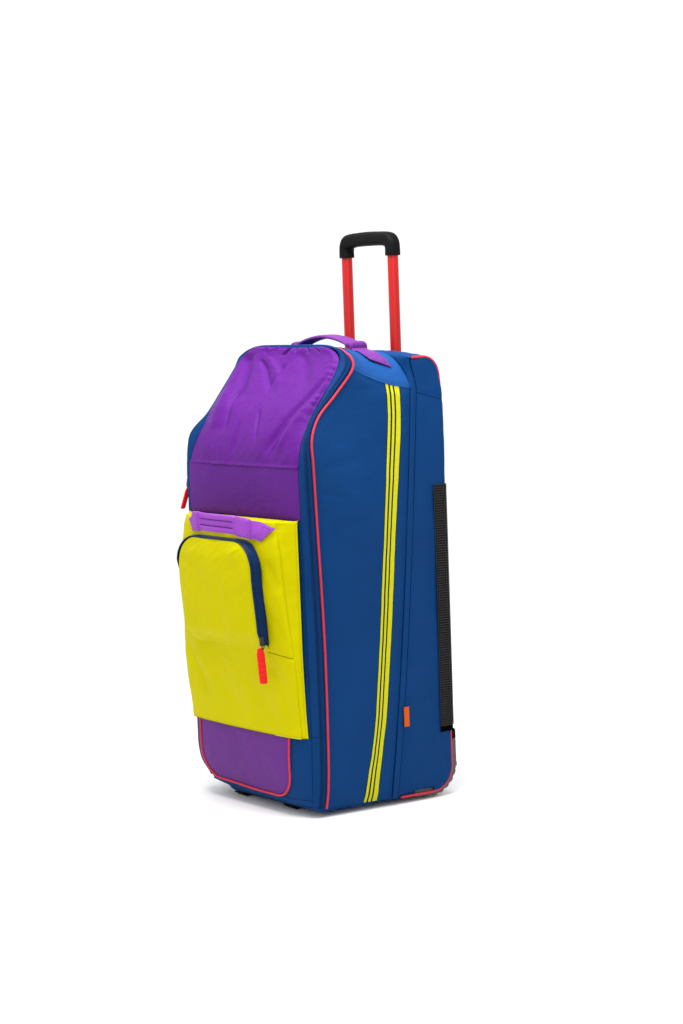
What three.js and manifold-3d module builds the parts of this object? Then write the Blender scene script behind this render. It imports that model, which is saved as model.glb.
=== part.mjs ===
// A wheeled gear bag: a soft hollow body sewn from panels, with a zipped front pocket, webbing handles,
// a telescopic pull handle and two wheels in moulded corner guards.
// Millimetres, +Z up. The front of the bag faces -Y and its right side +X.
import * as THREE from "three";
import { mergeVertices } from "three/addons/utils/BufferGeometryUtils.js";
import Module from "manifold-3d";

const wasm = await Module();
wasm.setup();

// Driving dimensions of the body
const HALF_WIDTH = 202; // from the middle to a side panel
const BACK_Y = 160; // outer face of the back panel
const BODY_BOTTOM = 9; // underside of the bottom panel above the floor
const SIDE_BOTTOM = 14; // lower edge of the side panels
const SIDE_BULGE = 12; // how far a side panel swells at its middle
const WALL = 2.5; // cloth with its backing
const GAP = 0.8; // between neighbouring pieces
const SIDE_SEAM_REAR = 780; // where a side panel meets the top panel, at the main zip
const TOP_FRONT_Y = -20; // front edge of the top panel at its middle
const TOP_FRONT = 858; // crest of the top panel behind the front piping
const TOP_REAR = 851; // and at the main zip
const TOP_ROUND = 3; // exponent of the rounded top section
const TOP_SLACK = 4; // powers of the fall over the shoulders: in the middle, at the front and at the rear
const TOP_STIFF_FRONT = 13;
const TOP_STIFF_REAR = 6.5;
const SEAM_DIP = 6;
const SEAM_LIFT = 3;
const REAR_TOP = 846; // top of the boxy rear half
const REAR_SIDE_TOP = 838; // upper edge of a rear side panel
const REAR_SIDE_BOTTOM = 17.5;
const REAR_EDGE_Y = 150.5; // back edge of a rear side panel in the corners
const REAR_CORNER = 14; // depth of its turn onto the back in between
const TOP_BACK_RADIUS = 45;
const BOTTOM_BACK_RADIUS = 50;

// The main zip runs as a slanting band between the front and rear halves.
const ZIP_FOOT_Y = 11; // front edge of the band at the side panels' lower edge
const ZIP_HEAD_Y = 86; // and at the rear end of the side seam
const ZIP_TOP_Y = 70; // and across the top
const ZIP_WIDTH = 14;

const PIPING_RADIUS = 2.8;
const PIPING_SLOT = 9.5; // clear width left between two panels for the piping

// The two edges of the strip that frames the front, from the bottom corner up to the middle of the top.
// inner is the edge against the front panels, outer the edge against the piping, the inset columns point
// from the outer edge across the piping, and turn is how deep the strip's soft corner is.
const FRAME_COLUMNS = [
  "innerX", "innerY", "innerZ", "outerX", "outerY", "outerZ", "insetX", "insetY", "insetZ", "turn",
];
const FRAME_ROWS = [
  [186, -161, 17, 200, -142, 17, 0, 1, 0, 19],
  [192, -164, 60, 203, -138, 60, 0, 1, 0, 26],
  [195, -165, 150, 204, -136, 150, 0, 1, 0, 29],
  [190, -165, 330, 204, -136, 330, 0, 1, 0, 29],
  [187, -165, 550, 205, -141, 550, 0, 1, 0, 24],
  [185, -164, 645, 205, -142, 645, 0, 1, 0, 22],
  [179, -150, 694, 199, -139, 698, 0, 1, -0.1, 13],
  [171, -122, 737, 190, -117, 739, 0, 0.85, -0.5, 8],
  [170, -91, 777, 189, -81, 777, 0, 0.76, -0.65, 8],
  [170, -62, 817, 190, -46, 821, -0.1, 0.9, -0.42, 9],
  [160, -46, 845, 180, -38, 843, -0.3, 0.95, -0.1, 7],
  [118, -41, 860, 136, -30, 856, 0, 1, 0, 7],
  [50, -40, 862, 58, -27, 860, 0, 1, 0, 7],
];
// The left bottom corner has settled rounder than the right: its first two rows, nearest the floor first
const LEFT_FOOT_ROWS = [
  [156, -160, 19, 170, -142, 19, 0, 1, 0, 18],
  [188, -164, 58, 199, -138, 56, 0, 1, 0, 26],
];
const FRAME_SEAM_ROW = 5; // the seam between the two purple panels
const FRAME_TOP_ROW = 11; // the end of the rounded top corner
const POCKET_TOP_FRAME_ROW = 4;

// How far the front stands out at its middle, by height
const FRONT_SWELL = [
  { z: 16, swell: 12 },
  { z: 80, swell: 23 },
  { z: 150, swell: 20 },
  { z: 300, swell: 10 },
  { z: 545, swell: 4 },
  { z: 645, swell: 4 },
  { z: 760, swell: 10 },
  { z: 862, swell: 2 },
];
const FRONT_SWELL_POWER = 6; // how late the swell falls off towards the edges

// The soft folds that run down the sloping upper panel
const FOLDS = [
  { topX: -105, footX: -150, depth: 3, width: 16 },
  { topX: -62, footX: -85, depth: 4, width: 14 },
  { topX: 0, footX: -35, depth: 5, width: 18 },
  { topX: 52, footX: 10, depth: 3.5, width: 16 },
  { topX: 118, footX: 62, depth: 4.5, width: 18 },
];

// The front pocket, by height: its sewn edge, the crease round its face and the middle of its face
const POCKET_ROWS = [
  { z: 150, baseX: 196, baseY: -170.5, creaseX: 188, creaseY: -178, faceY: -194 },
  { z: 197, baseX: 193, baseY: -170.5, creaseX: 187, creaseY: -181, faceY: -195 },
  { z: 301, baseX: 190, baseY: -171, creaseX: 182, creaseY: -187, faceY: -206 },
  { z: 400, baseX: 188, baseY: -171, creaseX: 172, creaseY: -192, faceY: -216 },
  { z: 481, baseX: 187, baseY: -171, creaseX: 165, creaseY: -195, faceY: -217 },
  { z: 530, baseX: 186, baseY: -171, creaseX: 157, creaseY: -196, faceY: -208 },
  { z: 547, baseX: 186, baseY: -171, creaseX: 153, creaseY: -195, faceY: -201 },
];
const POCKET_FOOT = POCKET_ROWS[0].z;
const POCKET_TOP = POCKET_ROWS.at(-1).z;
const POCKET_CROWN = 0.35; // exponent of the face's crown
const POCKET_LID = 4; // rise of the pocket's top from its front edge to the body

// The outer pouch on the pocket's face, with an arched zip
const POUCH_HALF = 123;
const POUCH_FOOT = 306;
const POUCH_TOP = 512;
const POUCH_CORNER = 50;
const POUCH_DEPTH = 20; // how far its face stands off the pocket
const POUCH_RISE = 42; // height over which it reaches that depth
const POUCH_WALL = 2;
const POUCH_CLEAR = 0.6;

// The patch at the foot of the front
const PATCH_HALF = 154;
const PATCH_TOP = 149;
const PATCH_FOOT = 27;
const PATCH_CORNER = 46;
const PATCH_WALL = 1.4;

// Webbing handles
const WEBBING = 3;
const TOP_HANDLE_Y = 44;
const TOP_HANDLE_WIDTH = 36;
const FRONT_HANDLE_Z = 543;
const FRONT_HANDLE_WIDTH = 34;
const BAND_WALL = 2;

// Pull handle
const TUBE_X = 75;
const TUBE_Y = 150;
const TUBE_RADIUS = 10.5;
const TUBE_WALL = 1.5;
const TUBE_FOOT = 560;
const COLLAR_FOOT = 1029;
const SOCKET_DEPTH = 20;
const GRIP_CREST = 1063; // middle of the grip's bar above the floor
const GRIP_CORNER_Z = 1060;
const GRIP_HALF_DEPTH = 13.5;
const GUIDE_WALL = 1.8;
const GUIDE_FOOT = 360;
const GUIDE_HEAD = 804;

// Wheels and corner guards
const WHEEL_RADIUS = 42;
const WHEEL_WIDTH = 24;
const WHEEL_X = 168;
const AXLE_Y = 116;
const AXLE_RADIUS = 4;
const HUB_RADIUS = 24;
const GUARD_INNER_X = 142;
const GUARD_OUTER_X = 195.5;
const GUARD_RADIUS = 60; // of its outer corner
const GUARD_BACK_Y = 171;
const GUARD_FOOT = 5;
const GUARD_TOP = 106;
const GUARD_FRONT_Y = 70;
const GUARD_SHELL = 9; // thickness of the moulding round the corner
const GUARD_RIB = 1.6;
const GUARD_RIBS = 6;
const CAP_HEIGHT = 22;
const WHEEL_CLEAR = 4;
const SKID_X = 84;
const SKID_FRONT_Y = -146;
const SKID_BACK_Y = 40;
const SKID_WIDTH = 30;

// Mesh vents at the rear corners
const MESH_FOOT = 137;
const MESH_TOP = 595;
const MESH_FRONT_Y = 128;
const MESH_BACK_X = 150;
const MESH_WALL = 1;

const LABEL_FOOT = 148;
const LABEL_HEIGHT = 37;
const LABEL_REACH = 12;

const FRONT_REACH = 242.2; // furthest point in front of the body's own zero
const BACK_REACH = GUARD_BACK_Y + GUARD_RIB;

const INSIDE = new THREE.Vector3(0, 0, 430);

const COLOURS = {
  blue: { color: 0x14407c, roughness: 0.75, metalness: 0 },
  purple: { color: 0x6c2a9c, roughness: 0.6, metalness: 0 },
  yellow: { color: 0xd9d400, roughness: 0.7, metalness: 0 },
  navy: { color: 0x0c2344, roughness: 0.7, metalness: 0 },
  red: { color: 0xe0364a, roughness: 0.5, metalness: 0 },
  tubeRed: { color: 0xd81e1e, roughness: 0.35, metalness: 0.3 },
  black: { color: 0x1c1c1d, roughness: 0.55, metalness: 0 },
  grey: { color: 0x4d4a4c, roughness: 0.6, metalness: 0 },
  steel: { color: 0x8d8f92, roughness: 0.35, metalness: 0.9 },
  orange: { color: 0xd9531e, roughness: 0.7, metalness: 0 },
};

const lerp = THREE.MathUtils.lerp;
const clamp01 = (t) => THREE.MathUtils.clamp(t, 0, 1);
const point = (x, y, z) => new THREE.Vector3(x, y, z);

// A value read from rows of a table at height z, straight between rows.
function readRows(rows, key, z) {
  const last = rows.length - 1;
  const above = rows.findIndex((row) => row.z >= z);
  if (above === 0) return rows[0][key];
  if (above < 0) return rows[last][key];
  const a = rows[above - 1];
  const b = rows[above];
  return lerp(a[key], b[key], (z - a.z) / (b.z - a.z));
}

// Geometry from points and triangles, turned so that its faces point out.
function solidGeometry(points, triangles) {
  const volume = triangles.reduce((sum, [a, b, c]) => {
    return sum + points[a].dot(point().crossVectors(points[b], points[c]));
  }, 0);
  const index = triangles.flatMap(([a, b, c]) => (volume < 0 ? [a, c, b] : [a, b, c]));
  const geometry = new THREE.BufferGeometry();
  geometry.setAttribute("position", new THREE.Float32BufferAttribute(points.flatMap((p) => p.toArray()), 3));
  return geometry.setIndex(index);
}

// A wall: surface(u, v) gives its outer face for u and v from 0 to 1, and the inner face lies one thickness
// away, on the side of the point that it faces.
function wallGeometry(surface, across, along, thickness, facing = INSIDE) {
  const step = 1e-3;
  const outer = [];
  const normals = [];
  let outward = 0;
  for (let j = 0; j <= along; j++) {
    for (let i = 0; i <= across; i++) {
      const u = i / across;
      const v = j / along;
      const p = surface(u, v);
      const du = surface(Math.min(1, u + step), v).sub(surface(Math.max(0, u - step), v));
      const dv = surface(u, Math.min(1, v + step)).sub(surface(u, Math.max(0, v - step)));
      const n = du.cross(dv).normalize();
      outward += n.dot(p.clone().sub(facing));
      outer.push(p);
      normals.push(n);
    }
  }
  const inward = -Math.sign(outward) * thickness;
  const inner = outer.map((p, k) => p.clone().addScaledVector(normals[k], inward));
  const count = outer.length;
  const at = (i, j) => j * (across + 1) + i;
  const triangles = [];
  const quad = (a, b, c, d) => triangles.push([a, b, c], [a, c, d]);
  for (let j = 0; j < along; j++) {
    for (let i = 0; i < across; i++) {
      const corners = [at(i, j), at(i + 1, j), at(i + 1, j + 1), at(i, j + 1)];
      quad(...corners);
      quad(...corners.map((k) => k + count).reverse());
    }
  }
  const rim = (a, b) => quad(b, a, a + count, b + count);
  for (let i = 0; i < across; i++) {
    rim(at(i, 0), at(i + 1, 0));
    rim(at(i + 1, along), at(i, along));
  }
  for (let j = 0; j < along; j++) {
    rim(at(0, j + 1), at(0, j));
    rim(at(across, j), at(across, j + 1));
  }
  return solidGeometry([...outer, ...inner], triangles);
}

// A round bar of few sides along a smooth curve.
function barGeometry(points, radius, steps, sides = 6) {
  const section = new THREE.Shape();
  for (let k = 0; k < sides; k++) {
    const angle = (2 * Math.PI * k) / sides;
    const move = k === 0 ? "moveTo" : "lineTo";
    section[move](radius * Math.cos(angle), radius * Math.sin(angle));
  }
  const extrudePath = new THREE.CatmullRomCurve3(points, false, "centripetal");
  return new THREE.ExtrudeGeometry(section, { steps, bevelEnabled: false, extrudePath });
}

// A closed mesh as a solid that can be joined or cut.
function toSolid(geometry) {
  const bare = geometry.clone();
  bare.deleteAttribute("normal");
  bare.deleteAttribute("uv");
  const merged = mergeVertices(bare, 1e-3);
  const vertProperties = new Float32Array(merged.attributes.position.array);
  const triVerts = new Uint32Array(merged.index.array);
  return new wasm.Manifold(new wasm.Mesh({ numProp: 3, vertProperties, triVerts }));
}

function fromSolid(solid) {
  const mesh = solid.getMesh();
  const geometry = new THREE.BufferGeometry();
  geometry.setAttribute("position", new THREE.BufferAttribute(new Float32Array(mesh.vertProperties), 3));
  return geometry.setIndex(new THREE.BufferAttribute(new Uint32Array(mesh.triVerts), 1));
}

const cutAway = (geometry, ...tools) =>
  fromSolid(tools.reduce((solid, tool) => solid.subtract(toSolid(tool)), toSolid(geometry)));
const joined = (first, ...others) =>
  fromSolid(others.reduce((solid, other) => solid.add(toSolid(other)), toSolid(first)));

function boxBetween(low, high) {
  const size = high.clone().sub(low);
  const middle = low.clone().add(high).multiplyScalar(0.5);
  return new THREE.BoxGeometry(size.x, size.y, size.z).translate(middle.x, middle.y, middle.z);
}

// A cylinder that stands on z = foot, or one that lies along X.
const uprightCylinder = (radius, foot, head, x, y, sides = 16) =>
  new THREE.CylinderGeometry(radius, radius, head - foot, sides)
    .rotateX(Math.PI / 2)
    .translate(x, y, (foot + head) / 2);
const cylinderAlongX = (radius, x0, x1, y, z, sides = 24) =>
  new THREE.CylinderGeometry(radius, radius, x1 - x0, sides)
    .rotateZ(Math.PI / 2)
    .translate((x0 + x1) / 2, y, z);

// Surfaces of the body

const frameRow = (row) => Object.fromEntries(FRAME_COLUMNS.map((name, k) => [name, row[k]]));
const frameTable = FRAME_ROWS.map(frameRow);
const frameCurve = (kind) => {
  const read = (r) => point(r[kind + "X"], r[kind + "Y"], r[kind + "Z"]);
  const right = frameTable.map(read);
  const leftRows = [...LEFT_FOOT_ROWS.map(frameRow), ...frameTable.slice(LEFT_FOOT_ROWS.length)];
  const left = leftRows.toReversed().map((r) => read(r)).map((p) => point(-p.x, p.y, p.z));
  return new THREE.CatmullRomCurve3([...right, ...left], false, "catmullrom", 0.5);
};
const innerEdge = frameCurve("inner");
const outerEdge = frameCurve("outer");
const insetCurve = frameCurve("inset");
const FRAME_LAST = 2 * FRAME_ROWS.length - 1;
const frameAt = (row) => row / FRAME_LAST;

// The point a given distance from the strip's outer edge, across the piping.
const pastOuterEdge = (t, distance) =>
  outerEdge.getPoint(t).addScaledVector(insetCurve.getPoint(t).normalize(), distance);

// The front edge of the piping's slot on the right side, as a function of v from the bottom to the side seam.
const SIDE_FRONT_ROWS = 9.05;
function sideFrontEdge(v, side = 1) {
  const t = frameAt(v * SIDE_FRONT_ROWS);
  const p = pastOuterEdge(side > 0 ? t : 1 - t, PIPING_SLOT);
  return point(Math.abs(p.x), p.y, p.z);
}

const zipFrontY = (z) => lerp(ZIP_FOOT_Y, ZIP_HEAD_Y, (z - SIDE_BOTTOM) / (SIDE_SEAM_REAR - SIDE_BOTTOM));

// The swollen face of a side: x for a point at y and z.
function sideBulge(y, z) {
  const up = clamp01((z - SIDE_BOTTOM) / (SIDE_SEAM_REAR - SIDE_BOTTOM));
  const back = clamp01((y + 130) / (REAR_EDGE_Y + 130));
  return SIDE_BULGE * Math.sin(Math.PI * up) ** 0.7 * Math.sin(Math.PI * back) ** 0.7;
}
const sideX = (y, z) => HALF_WIDTH + sideBulge(y, z);

const mirrored = (surface) => (u, v) => {
  const p = surface(u, v);
  return point(-p.x, p.y, p.z);
};

const sidePanel = (side) => (u, v) => {
  const front = sideFrontEdge(v, side);
  const z = lerp(front.z, lerp(SIDE_BOTTOM, SIDE_SEAM_REAR, v), u) - SEAM_DIP * 4 * u * (1 - u) * v ** 6;
  const y = lerp(front.y, zipFrontY(z), u);
  const x = lerp(front.x, HALF_WIDTH, u) + sideBulge(y, z) * Math.min(1, u * 4);
  return point(side * x, y, z);
};

// The strip that frames the front turns from facing forward to facing sideways round a soft corner.
function frontFrame(u, v) {
  const inner = innerEdge.getPoint(v);
  const outer = outerEdge.getPoint(v);
  const row = Math.min(v, 1 - v) * FRAME_LAST;
  const low = Math.min(Math.floor(row), FRAME_ROWS.length - 1);
  const high = Math.min(low + 1, FRAME_ROWS.length - 1);
  const turn = lerp(frameTable[low].turn, frameTable[high].turn, row - low);
  const corner = pastOuterEdge(v, -turn);
  return inner
    .multiplyScalar((1 - u) ** 2)
    .addScaledVector(corner, 2 * u * (1 - u))
    .addScaledVector(outer, u * u);
}

function foldDepth(x, v) {
  return FOLDS.reduce((sum, fold) => {
    const middle = lerp(fold.footX, fold.topX, v);
    const ends = Math.sin(Math.PI * clamp01(0.12 + 0.8 * v));
    return sum + fold.depth * ends * Math.exp(-(((x - middle) / fold.width) ** 2));
  }, 0);
}

// A front panel between two rows of the frame: it swells forward between the frame's two inner edges.
const frontPanel = (fromRow, toRow, folded) => (u, v) => {
  const t = frameAt(lerp(fromRow, toRow, v));
  const right = innerEdge.getPoint(t);
  const left = innerEdge.getPoint(1 - t);
  const edge = left.clone().lerp(right, u);
  const topward = clamp01((edge.z - 820) / 30);
  edge.z -= 3.5 * topward;
  edge.y -= topward;
  const share = 2 * u - 1;
  const inset = lerp(GAP, 1.6, topward);
  const footInset = 2.5 * clamp01((120 - left.z) / 60);
  const x = lerp(left.x + inset + footInset, right.x - inset, u);
  const swell = readRows(FRONT_SWELL, "swell", edge.z) * (1 - Math.abs(share) ** FRONT_SWELL_POWER);
  const dent = folded ? foldDepth(x, v) * (1 - share ** 4) : 0;
  return point(x, edge.y - swell + dent, edge.z);
};

// Section of the top, from the right side seam over the crest to the left one. v runs from the front piping
// back to the main zip. The cloth falls away over the shoulders, most where it is slack between the two.
const seamFront = sideFrontEdge(1);
const topHalf = (v) => lerp(seamFront.x, HALF_WIDTH, v);
function topFall(v) {
  const front = (TOP_STIFF_FRONT - TOP_SLACK) * (1 - v) ** 8;
  const rear = (TOP_STIFF_REAR - TOP_SLACK) * v ** 4;
  return TOP_SLACK + front + rear;
}
function topZ(x, v) {
  const seam = lerp(seamFront.z, SIDE_SEAM_REAR, v) - SEAM_DIP * 4 * v * (1 - v) + SEAM_LIFT;
  const crest = lerp(TOP_FRONT, TOP_REAR, v);
  return seam + (crest - seam) * (1 - Math.min(1, Math.abs(x / topHalf(v))) ** topFall(v));
}
function topPanel(u, v) {
  const angle = Math.PI * (u - 0.5);
  const x = topHalf(v) * Math.sign(angle) * Math.abs(Math.sin(angle)) ** (2 / TOP_ROUND);
  const share = Math.abs(x / topHalf(v));
  const frontY = lerp(TOP_FRONT_Y, seamFront.y, share ** 8);
  const rearY = lerp(ZIP_TOP_Y, ZIP_HEAD_Y, share ** 3);
  return point(x, lerp(frontY, rearY, v), topZ(x, v));
}

// The zip band's front edge follows the front half, and its rear edge the boxier rear half.
const ZIP_SIDE_SHARE = 0.36;
function zipBand(u, v) {
  const half = Math.min(u, 1 - u);
  const side = u < 0.5 ? 1 : -1;
  const front = point();
  const rear = point();
  if (half < ZIP_SIDE_SHARE) {
    const z = lerp(SIDE_BOTTOM, SIDE_SEAM_REAR, half / ZIP_SIDE_SHARE);
    const y = zipFrontY(z);
    front.set(sideX(y, z), y + GAP, z);
    rear.set(sideX(y + ZIP_WIDTH, z), y + ZIP_WIDTH - GAP, z);
  } else {
    const share = (half - ZIP_SIDE_SHARE) / (0.5 - ZIP_SIDE_SHARE);
    const onTop = topPanel(1 - share / 2, 1);
    front.copy(onTop).add(point(0, GAP * 2, 0));
    const climb = clamp01(share / 0.42);
    const run = clamp01((share - 0.42) / 0.58);
    const rearX = lerp(HALF_WIDTH - 4 * climb ** 2, 0, run);
    const rearY = lerp(ZIP_HEAD_Y + ZIP_WIDTH, ZIP_TOP_Y + ZIP_WIDTH, climb) - GAP;
    rear.set(rearX, rearY, lerp(SIDE_SEAM_REAR, REAR_TOP, climb));
  }
  const p = front.lerp(rear, v);
  return point(side * p.x, p.y, p.z);
}

// The rear half's outline in the YZ plane, inset from its outer face, at a share of the way from the bottom
// of the back corner up the back and over to the top.
function rearOutline(share, inset) {
  const back = BACK_Y - inset;
  const low = BODY_BOTTOM + inset;
  const high = REAR_TOP - inset;
  const lowRadius = BOTTOM_BACK_RADIUS - inset;
  const highRadius = TOP_BACK_RADIUS - inset;
  const path = new THREE.Path();
  path.moveTo(back - lowRadius - 40, low);
  path.lineTo(back - lowRadius, low);
  path.absarc(back - lowRadius, low + lowRadius, lowRadius, -Math.PI / 2, 0, false);
  path.lineTo(back, high - highRadius);
  path.absarc(back - highRadius, high - highRadius, highRadius, 0, Math.PI / 2, false);
  path.lineTo(ZIP_TOP_Y + ZIP_WIDTH, high);
  return path.getPointAt(share);
}

// How far the rear piping has gone round from the side's edge onto the back, by height: it stays at the edge
// in the bottom and top corners.
const ease = (t) => THREE.MathUtils.smoothstep(t, 0, 1);
const wrapAt = (z) => ease((z - 200) / 180) * ease((800 - z) / 60);

// A rear side panel fills the rear half's outline from the zip band back, and turns round the rear corner.
const REAR_TURN_SHARE = 0.7;
function rearSidePanel(u, v) {
  const frontZ = lerp(REAR_SIDE_BOTTOM, REAR_SIDE_TOP, v);
  const lean = (ZIP_HEAD_Y - ZIP_TOP_Y) / (REAR_TOP - SIDE_SEAM_REAR);
  const leanBack = Math.max(0, frontZ - SIDE_SEAM_REAR) * lean;
  const frontY = Math.min(zipFrontY(frontZ), ZIP_HEAD_Y) + ZIP_WIDTH - leanBack + 2.6;
  const share = lerp(0.045, 0.97, v);
  const wrap = wrapAt(rearOutline(share, 0).y);
  const turn = (Math.PI / 2) * clamp01((u - REAR_TURN_SHARE) / (1 - REAR_TURN_SHARE));
  const endInset = lerp(BACK_Y - REAR_EDGE_Y, 0, wrap);
  const back = rearOutline(share, lerp(REAR_CORNER, endInset, Math.sin(turn)));
  const across = Math.min(1, u / REAR_TURN_SHARE);
  const y = lerp(frontY, back.x, across);
  const z = lerp(frontZ, back.y, across);
  return point(sideX(y, z) - REAR_CORNER * wrap * (1 - Math.cos(turn)), y, z);
}

// Back panel and rear top: bands across the back, between two heights on the rear outline.
const BACK_EDGE_X = 194;
const BACK_SWELL = 7;
const BACK_TUCK = 14; // how much narrower it is where the piping lies on the back
const backSwell = (share) => BACK_SWELL * (1 - share ** 4) - 3 * share ** 8;
const rearBand = (from, to) => (u, v) => {
  const p = rearOutline(lerp(from, to, v), 0);
  const share = 2 * u - 1;
  const edgeX = BACK_EDGE_X - BACK_TUCK * wrapAt(p.y);
  return point(share * edgeX, p.x + backSwell(share) * clamp01((p.x - 110) / 40), p.y);
};

// Soft panels

function bottomPanel() {
  const foot = (u, v) => {
    const y = lerp(-160, BACK_Y - BOTTOM_BACK_RADIUS - 42, v);
    const lift = 4 * clamp01((-140 - y) / 20) ** 2;
    const left = -196 + 42 * clamp01((-100 - y) / 60) ** 2;
    return point(lerp(left, 196, u), y, BODY_BOTTOM + lift);
  };
  return wallGeometry(foot, 2, 8, WALL);
}

function pocketY(x, z) {
  const creaseX = readRows(POCKET_ROWS, "creaseX", z);
  const creaseY = readRows(POCKET_ROWS, "creaseY", z);
  const faceY = readRows(POCKET_ROWS, "faceY", z);
  return creaseY + (faceY - creaseY) * Math.max(0, 1 - (x / creaseX) ** 2) ** POCKET_CROWN;
}

// The pocket is a tray of cloth: its face, a sloping gusset down each side and a narrow lid.
const POCKET_GUSSET_SHARE = 0.1;
const POCKET_LID_SHARE = 0.92;
function pocketTray(u, v) {
  const rise = clamp01(v / POCKET_LID_SHARE);
  const lid = clamp01((v - POCKET_LID_SHARE) / (1 - POCKET_LID_SHARE));
  const z = lerp(POCKET_FOOT, POCKET_TOP, rise);
  const share = 2 * u - 1;
  const onFace = clamp01(Math.abs(share) / (1 - 2 * POCKET_GUSSET_SHARE));
  const gusset = clamp01((Math.abs(share) - 1 + 2 * POCKET_GUSSET_SHARE) / (2 * POCKET_GUSSET_SHARE));
  const creaseX = readRows(POCKET_ROWS, "creaseX", z);
  const baseY = readRows(POCKET_ROWS, "baseY", z);
  const x = Math.sign(share) * lerp(onFace * creaseX, readRows(POCKET_ROWS, "baseX", z), gusset);
  const faceY = lerp(pocketY(onFace * creaseX, z), baseY, gusset);
  return point(x, lerp(faceY, baseY, lid), z + POCKET_LID * lid);
}

// Half width of the pouch at height z, with its rounded top corners.
function pouchHalf(z) {
  const up = clamp01((z - POUCH_TOP + POUCH_CORNER) / POUCH_CORNER);
  return POUCH_HALF - POUCH_CORNER * (1 - Math.sqrt(1 - up * up));
}

function pouchLift(z) {
  const rise = clamp01((z - POUCH_FOOT) / POUCH_RISE);
  return POUCH_WALL + POUCH_CLEAR + POUCH_DEPTH * Math.sin((Math.PI / 2) * rise);
}

function pouchFace(u, v) {
  const z = lerp(POUCH_FOOT, POUCH_TOP, Math.sin((Math.PI / 2) * v));
  const share = 2 * u - 1;
  const x = share * pouchHalf(z);
  return point(x, pocketY(x, z) - pouchLift(z) - 3 * (1 - share ** 2) * clamp01(v * 4), z);
}

// The pouch's zip gusset follows the arch of its face back to the pocket.
const POUCH_ZIP_FOOT = 322;
function pouchZip(u, v) {
  const straight = POUCH_TOP - POUCH_CORNER - POUCH_ZIP_FOOT;
  const bend = (Math.PI / 2) * POUCH_CORNER;
  const flat = POUCH_HALF - POUCH_CORNER;
  const half = straight + bend + flat;
  const side = u < 0.5 ? 1 : -1;
  const walked = Math.min(u, 1 - u) * 2 * half;
  const outset = POUCH_WALL + POUCH_CLEAR * 1.6;
  let x = POUCH_HALF + outset;
  let z = POUCH_ZIP_FOOT + Math.min(walked, straight);
  if (walked > straight) {
    const angle = Math.min(1, (walked - straight) / bend) * (Math.PI / 2);
    x = flat + (POUCH_CORNER + outset) * Math.cos(angle);
    z = POUCH_TOP - POUCH_CORNER + (POUCH_CORNER + outset) * Math.sin(angle);
  }
  if (walked > straight + bend) x = flat - (walked - straight - bend);
  const base = pocketY(Math.min(x, POUCH_HALF), Math.min(z, POUCH_TOP)) - POUCH_CLEAR;
  return point(side * x, lerp(base - pouchLift(Math.min(z, POUCH_TOP)), base, v), z);
}

// The patch follows the lower front panel and ends in rounded bottom corners.
function lowerFrontY(x, z) {
  const rows = frameTable.map((r) => ({ z: r.innerZ, edgeX: r.innerX, edgeY: r.innerY }));
  const swell = readRows(FRONT_SWELL, "swell", z);
  const share = Math.min(1, Math.abs(x) / readRows(rows, "edgeX", z));
  return readRows(rows, "edgeY", z) - swell * (1 - share ** FRONT_SWELL_POWER);
}
function patchHalf(z) {
  const down = clamp01((PATCH_FOOT + PATCH_CORNER - z) / PATCH_CORNER);
  return PATCH_HALF - PATCH_CORNER * (1 - Math.sqrt(1 - down * down));
}
function frontPatch(u, v) {
  const z = lerp(PATCH_FOOT, PATCH_TOP, 1 - Math.cos((Math.PI / 2) * v));
  const x = (2 * u - 1) * patchHalf(z);
  return point(x, lowerFrontY(x, z) - PATCH_WALL - 1.4, z);
}

function patchPiping() {
  const outset = PIPING_RADIUS + GAP;
  const centre = PATCH_FOOT + PATCH_CORNER;
  const around = [0, 0.25, 0.5, 0.75, 1].map((s) => (s * Math.PI) / 2);
  const plan = [
    [PATCH_HALF + outset, PATCH_TOP - 3],
    [PATCH_HALF + outset, (PATCH_TOP + centre) / 2],
    ...around.map((a) => [
      PATCH_HALF - PATCH_CORNER + (PATCH_CORNER + outset) * Math.cos(a),
      centre - (PATCH_CORNER + outset) * Math.sin(a),
    ]),
    [PATCH_HALF / 3, PATCH_FOOT - outset],
  ];
  const all = [...plan, ...plan.toReversed().map(([x, z]) => [-x, z])];
  return all.map(([x, z]) => point(x, lowerFrontY(x, Math.max(z, 17)) - PIPING_RADIUS - GAP, z));
}

// The front piping lies in the slot between the frame and the side and top panels.
const frontPiping = () =>
  Array.from({ length: 53 }, (_, k) => pastOuterEdge(k / 52, PIPING_SLOT * 0.42));

// The rear piping follows the rear side panel's edge from the foot of the zip round to its head.
function rearPiping(side) {
  const inset = 3.5;
  const edgeX = 199.5;
  const round = Array.from({ length: 40 }, (_, k) => {
    const share = 0.01 + (0.98 * k) / 39;
    const wrap = wrapAt(rearOutline(share, inset).y);
    const p = rearOutline(share, lerp(inset, 0, wrap));
    return point(side * lerp(edgeX, HALF_WIDTH - REAR_CORNER - 4, wrap), p.x, p.y);
  });
  return [point(side * edgeX, 34, BODY_BOTTOM + inset), ...round];
}

// A webbing handle along a path: width runs along a fixed direction, and each end is cut on a slant.
function webbing(path, widthDirection, width, steps, facing, slant) {
  const curve = new THREE.CatmullRomCurve3(path, false, "centripetal");
  const strip = (u, v) => {
    const trim = slant * (1 - v);
    const p = curve.getPointAt(lerp(trim, 1 - trim, u));
    return p.addScaledVector(widthDirection, (v - 0.5) * width);
  };
  return wallGeometry(strip, steps, 2, WEBBING, facing);
}
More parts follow.
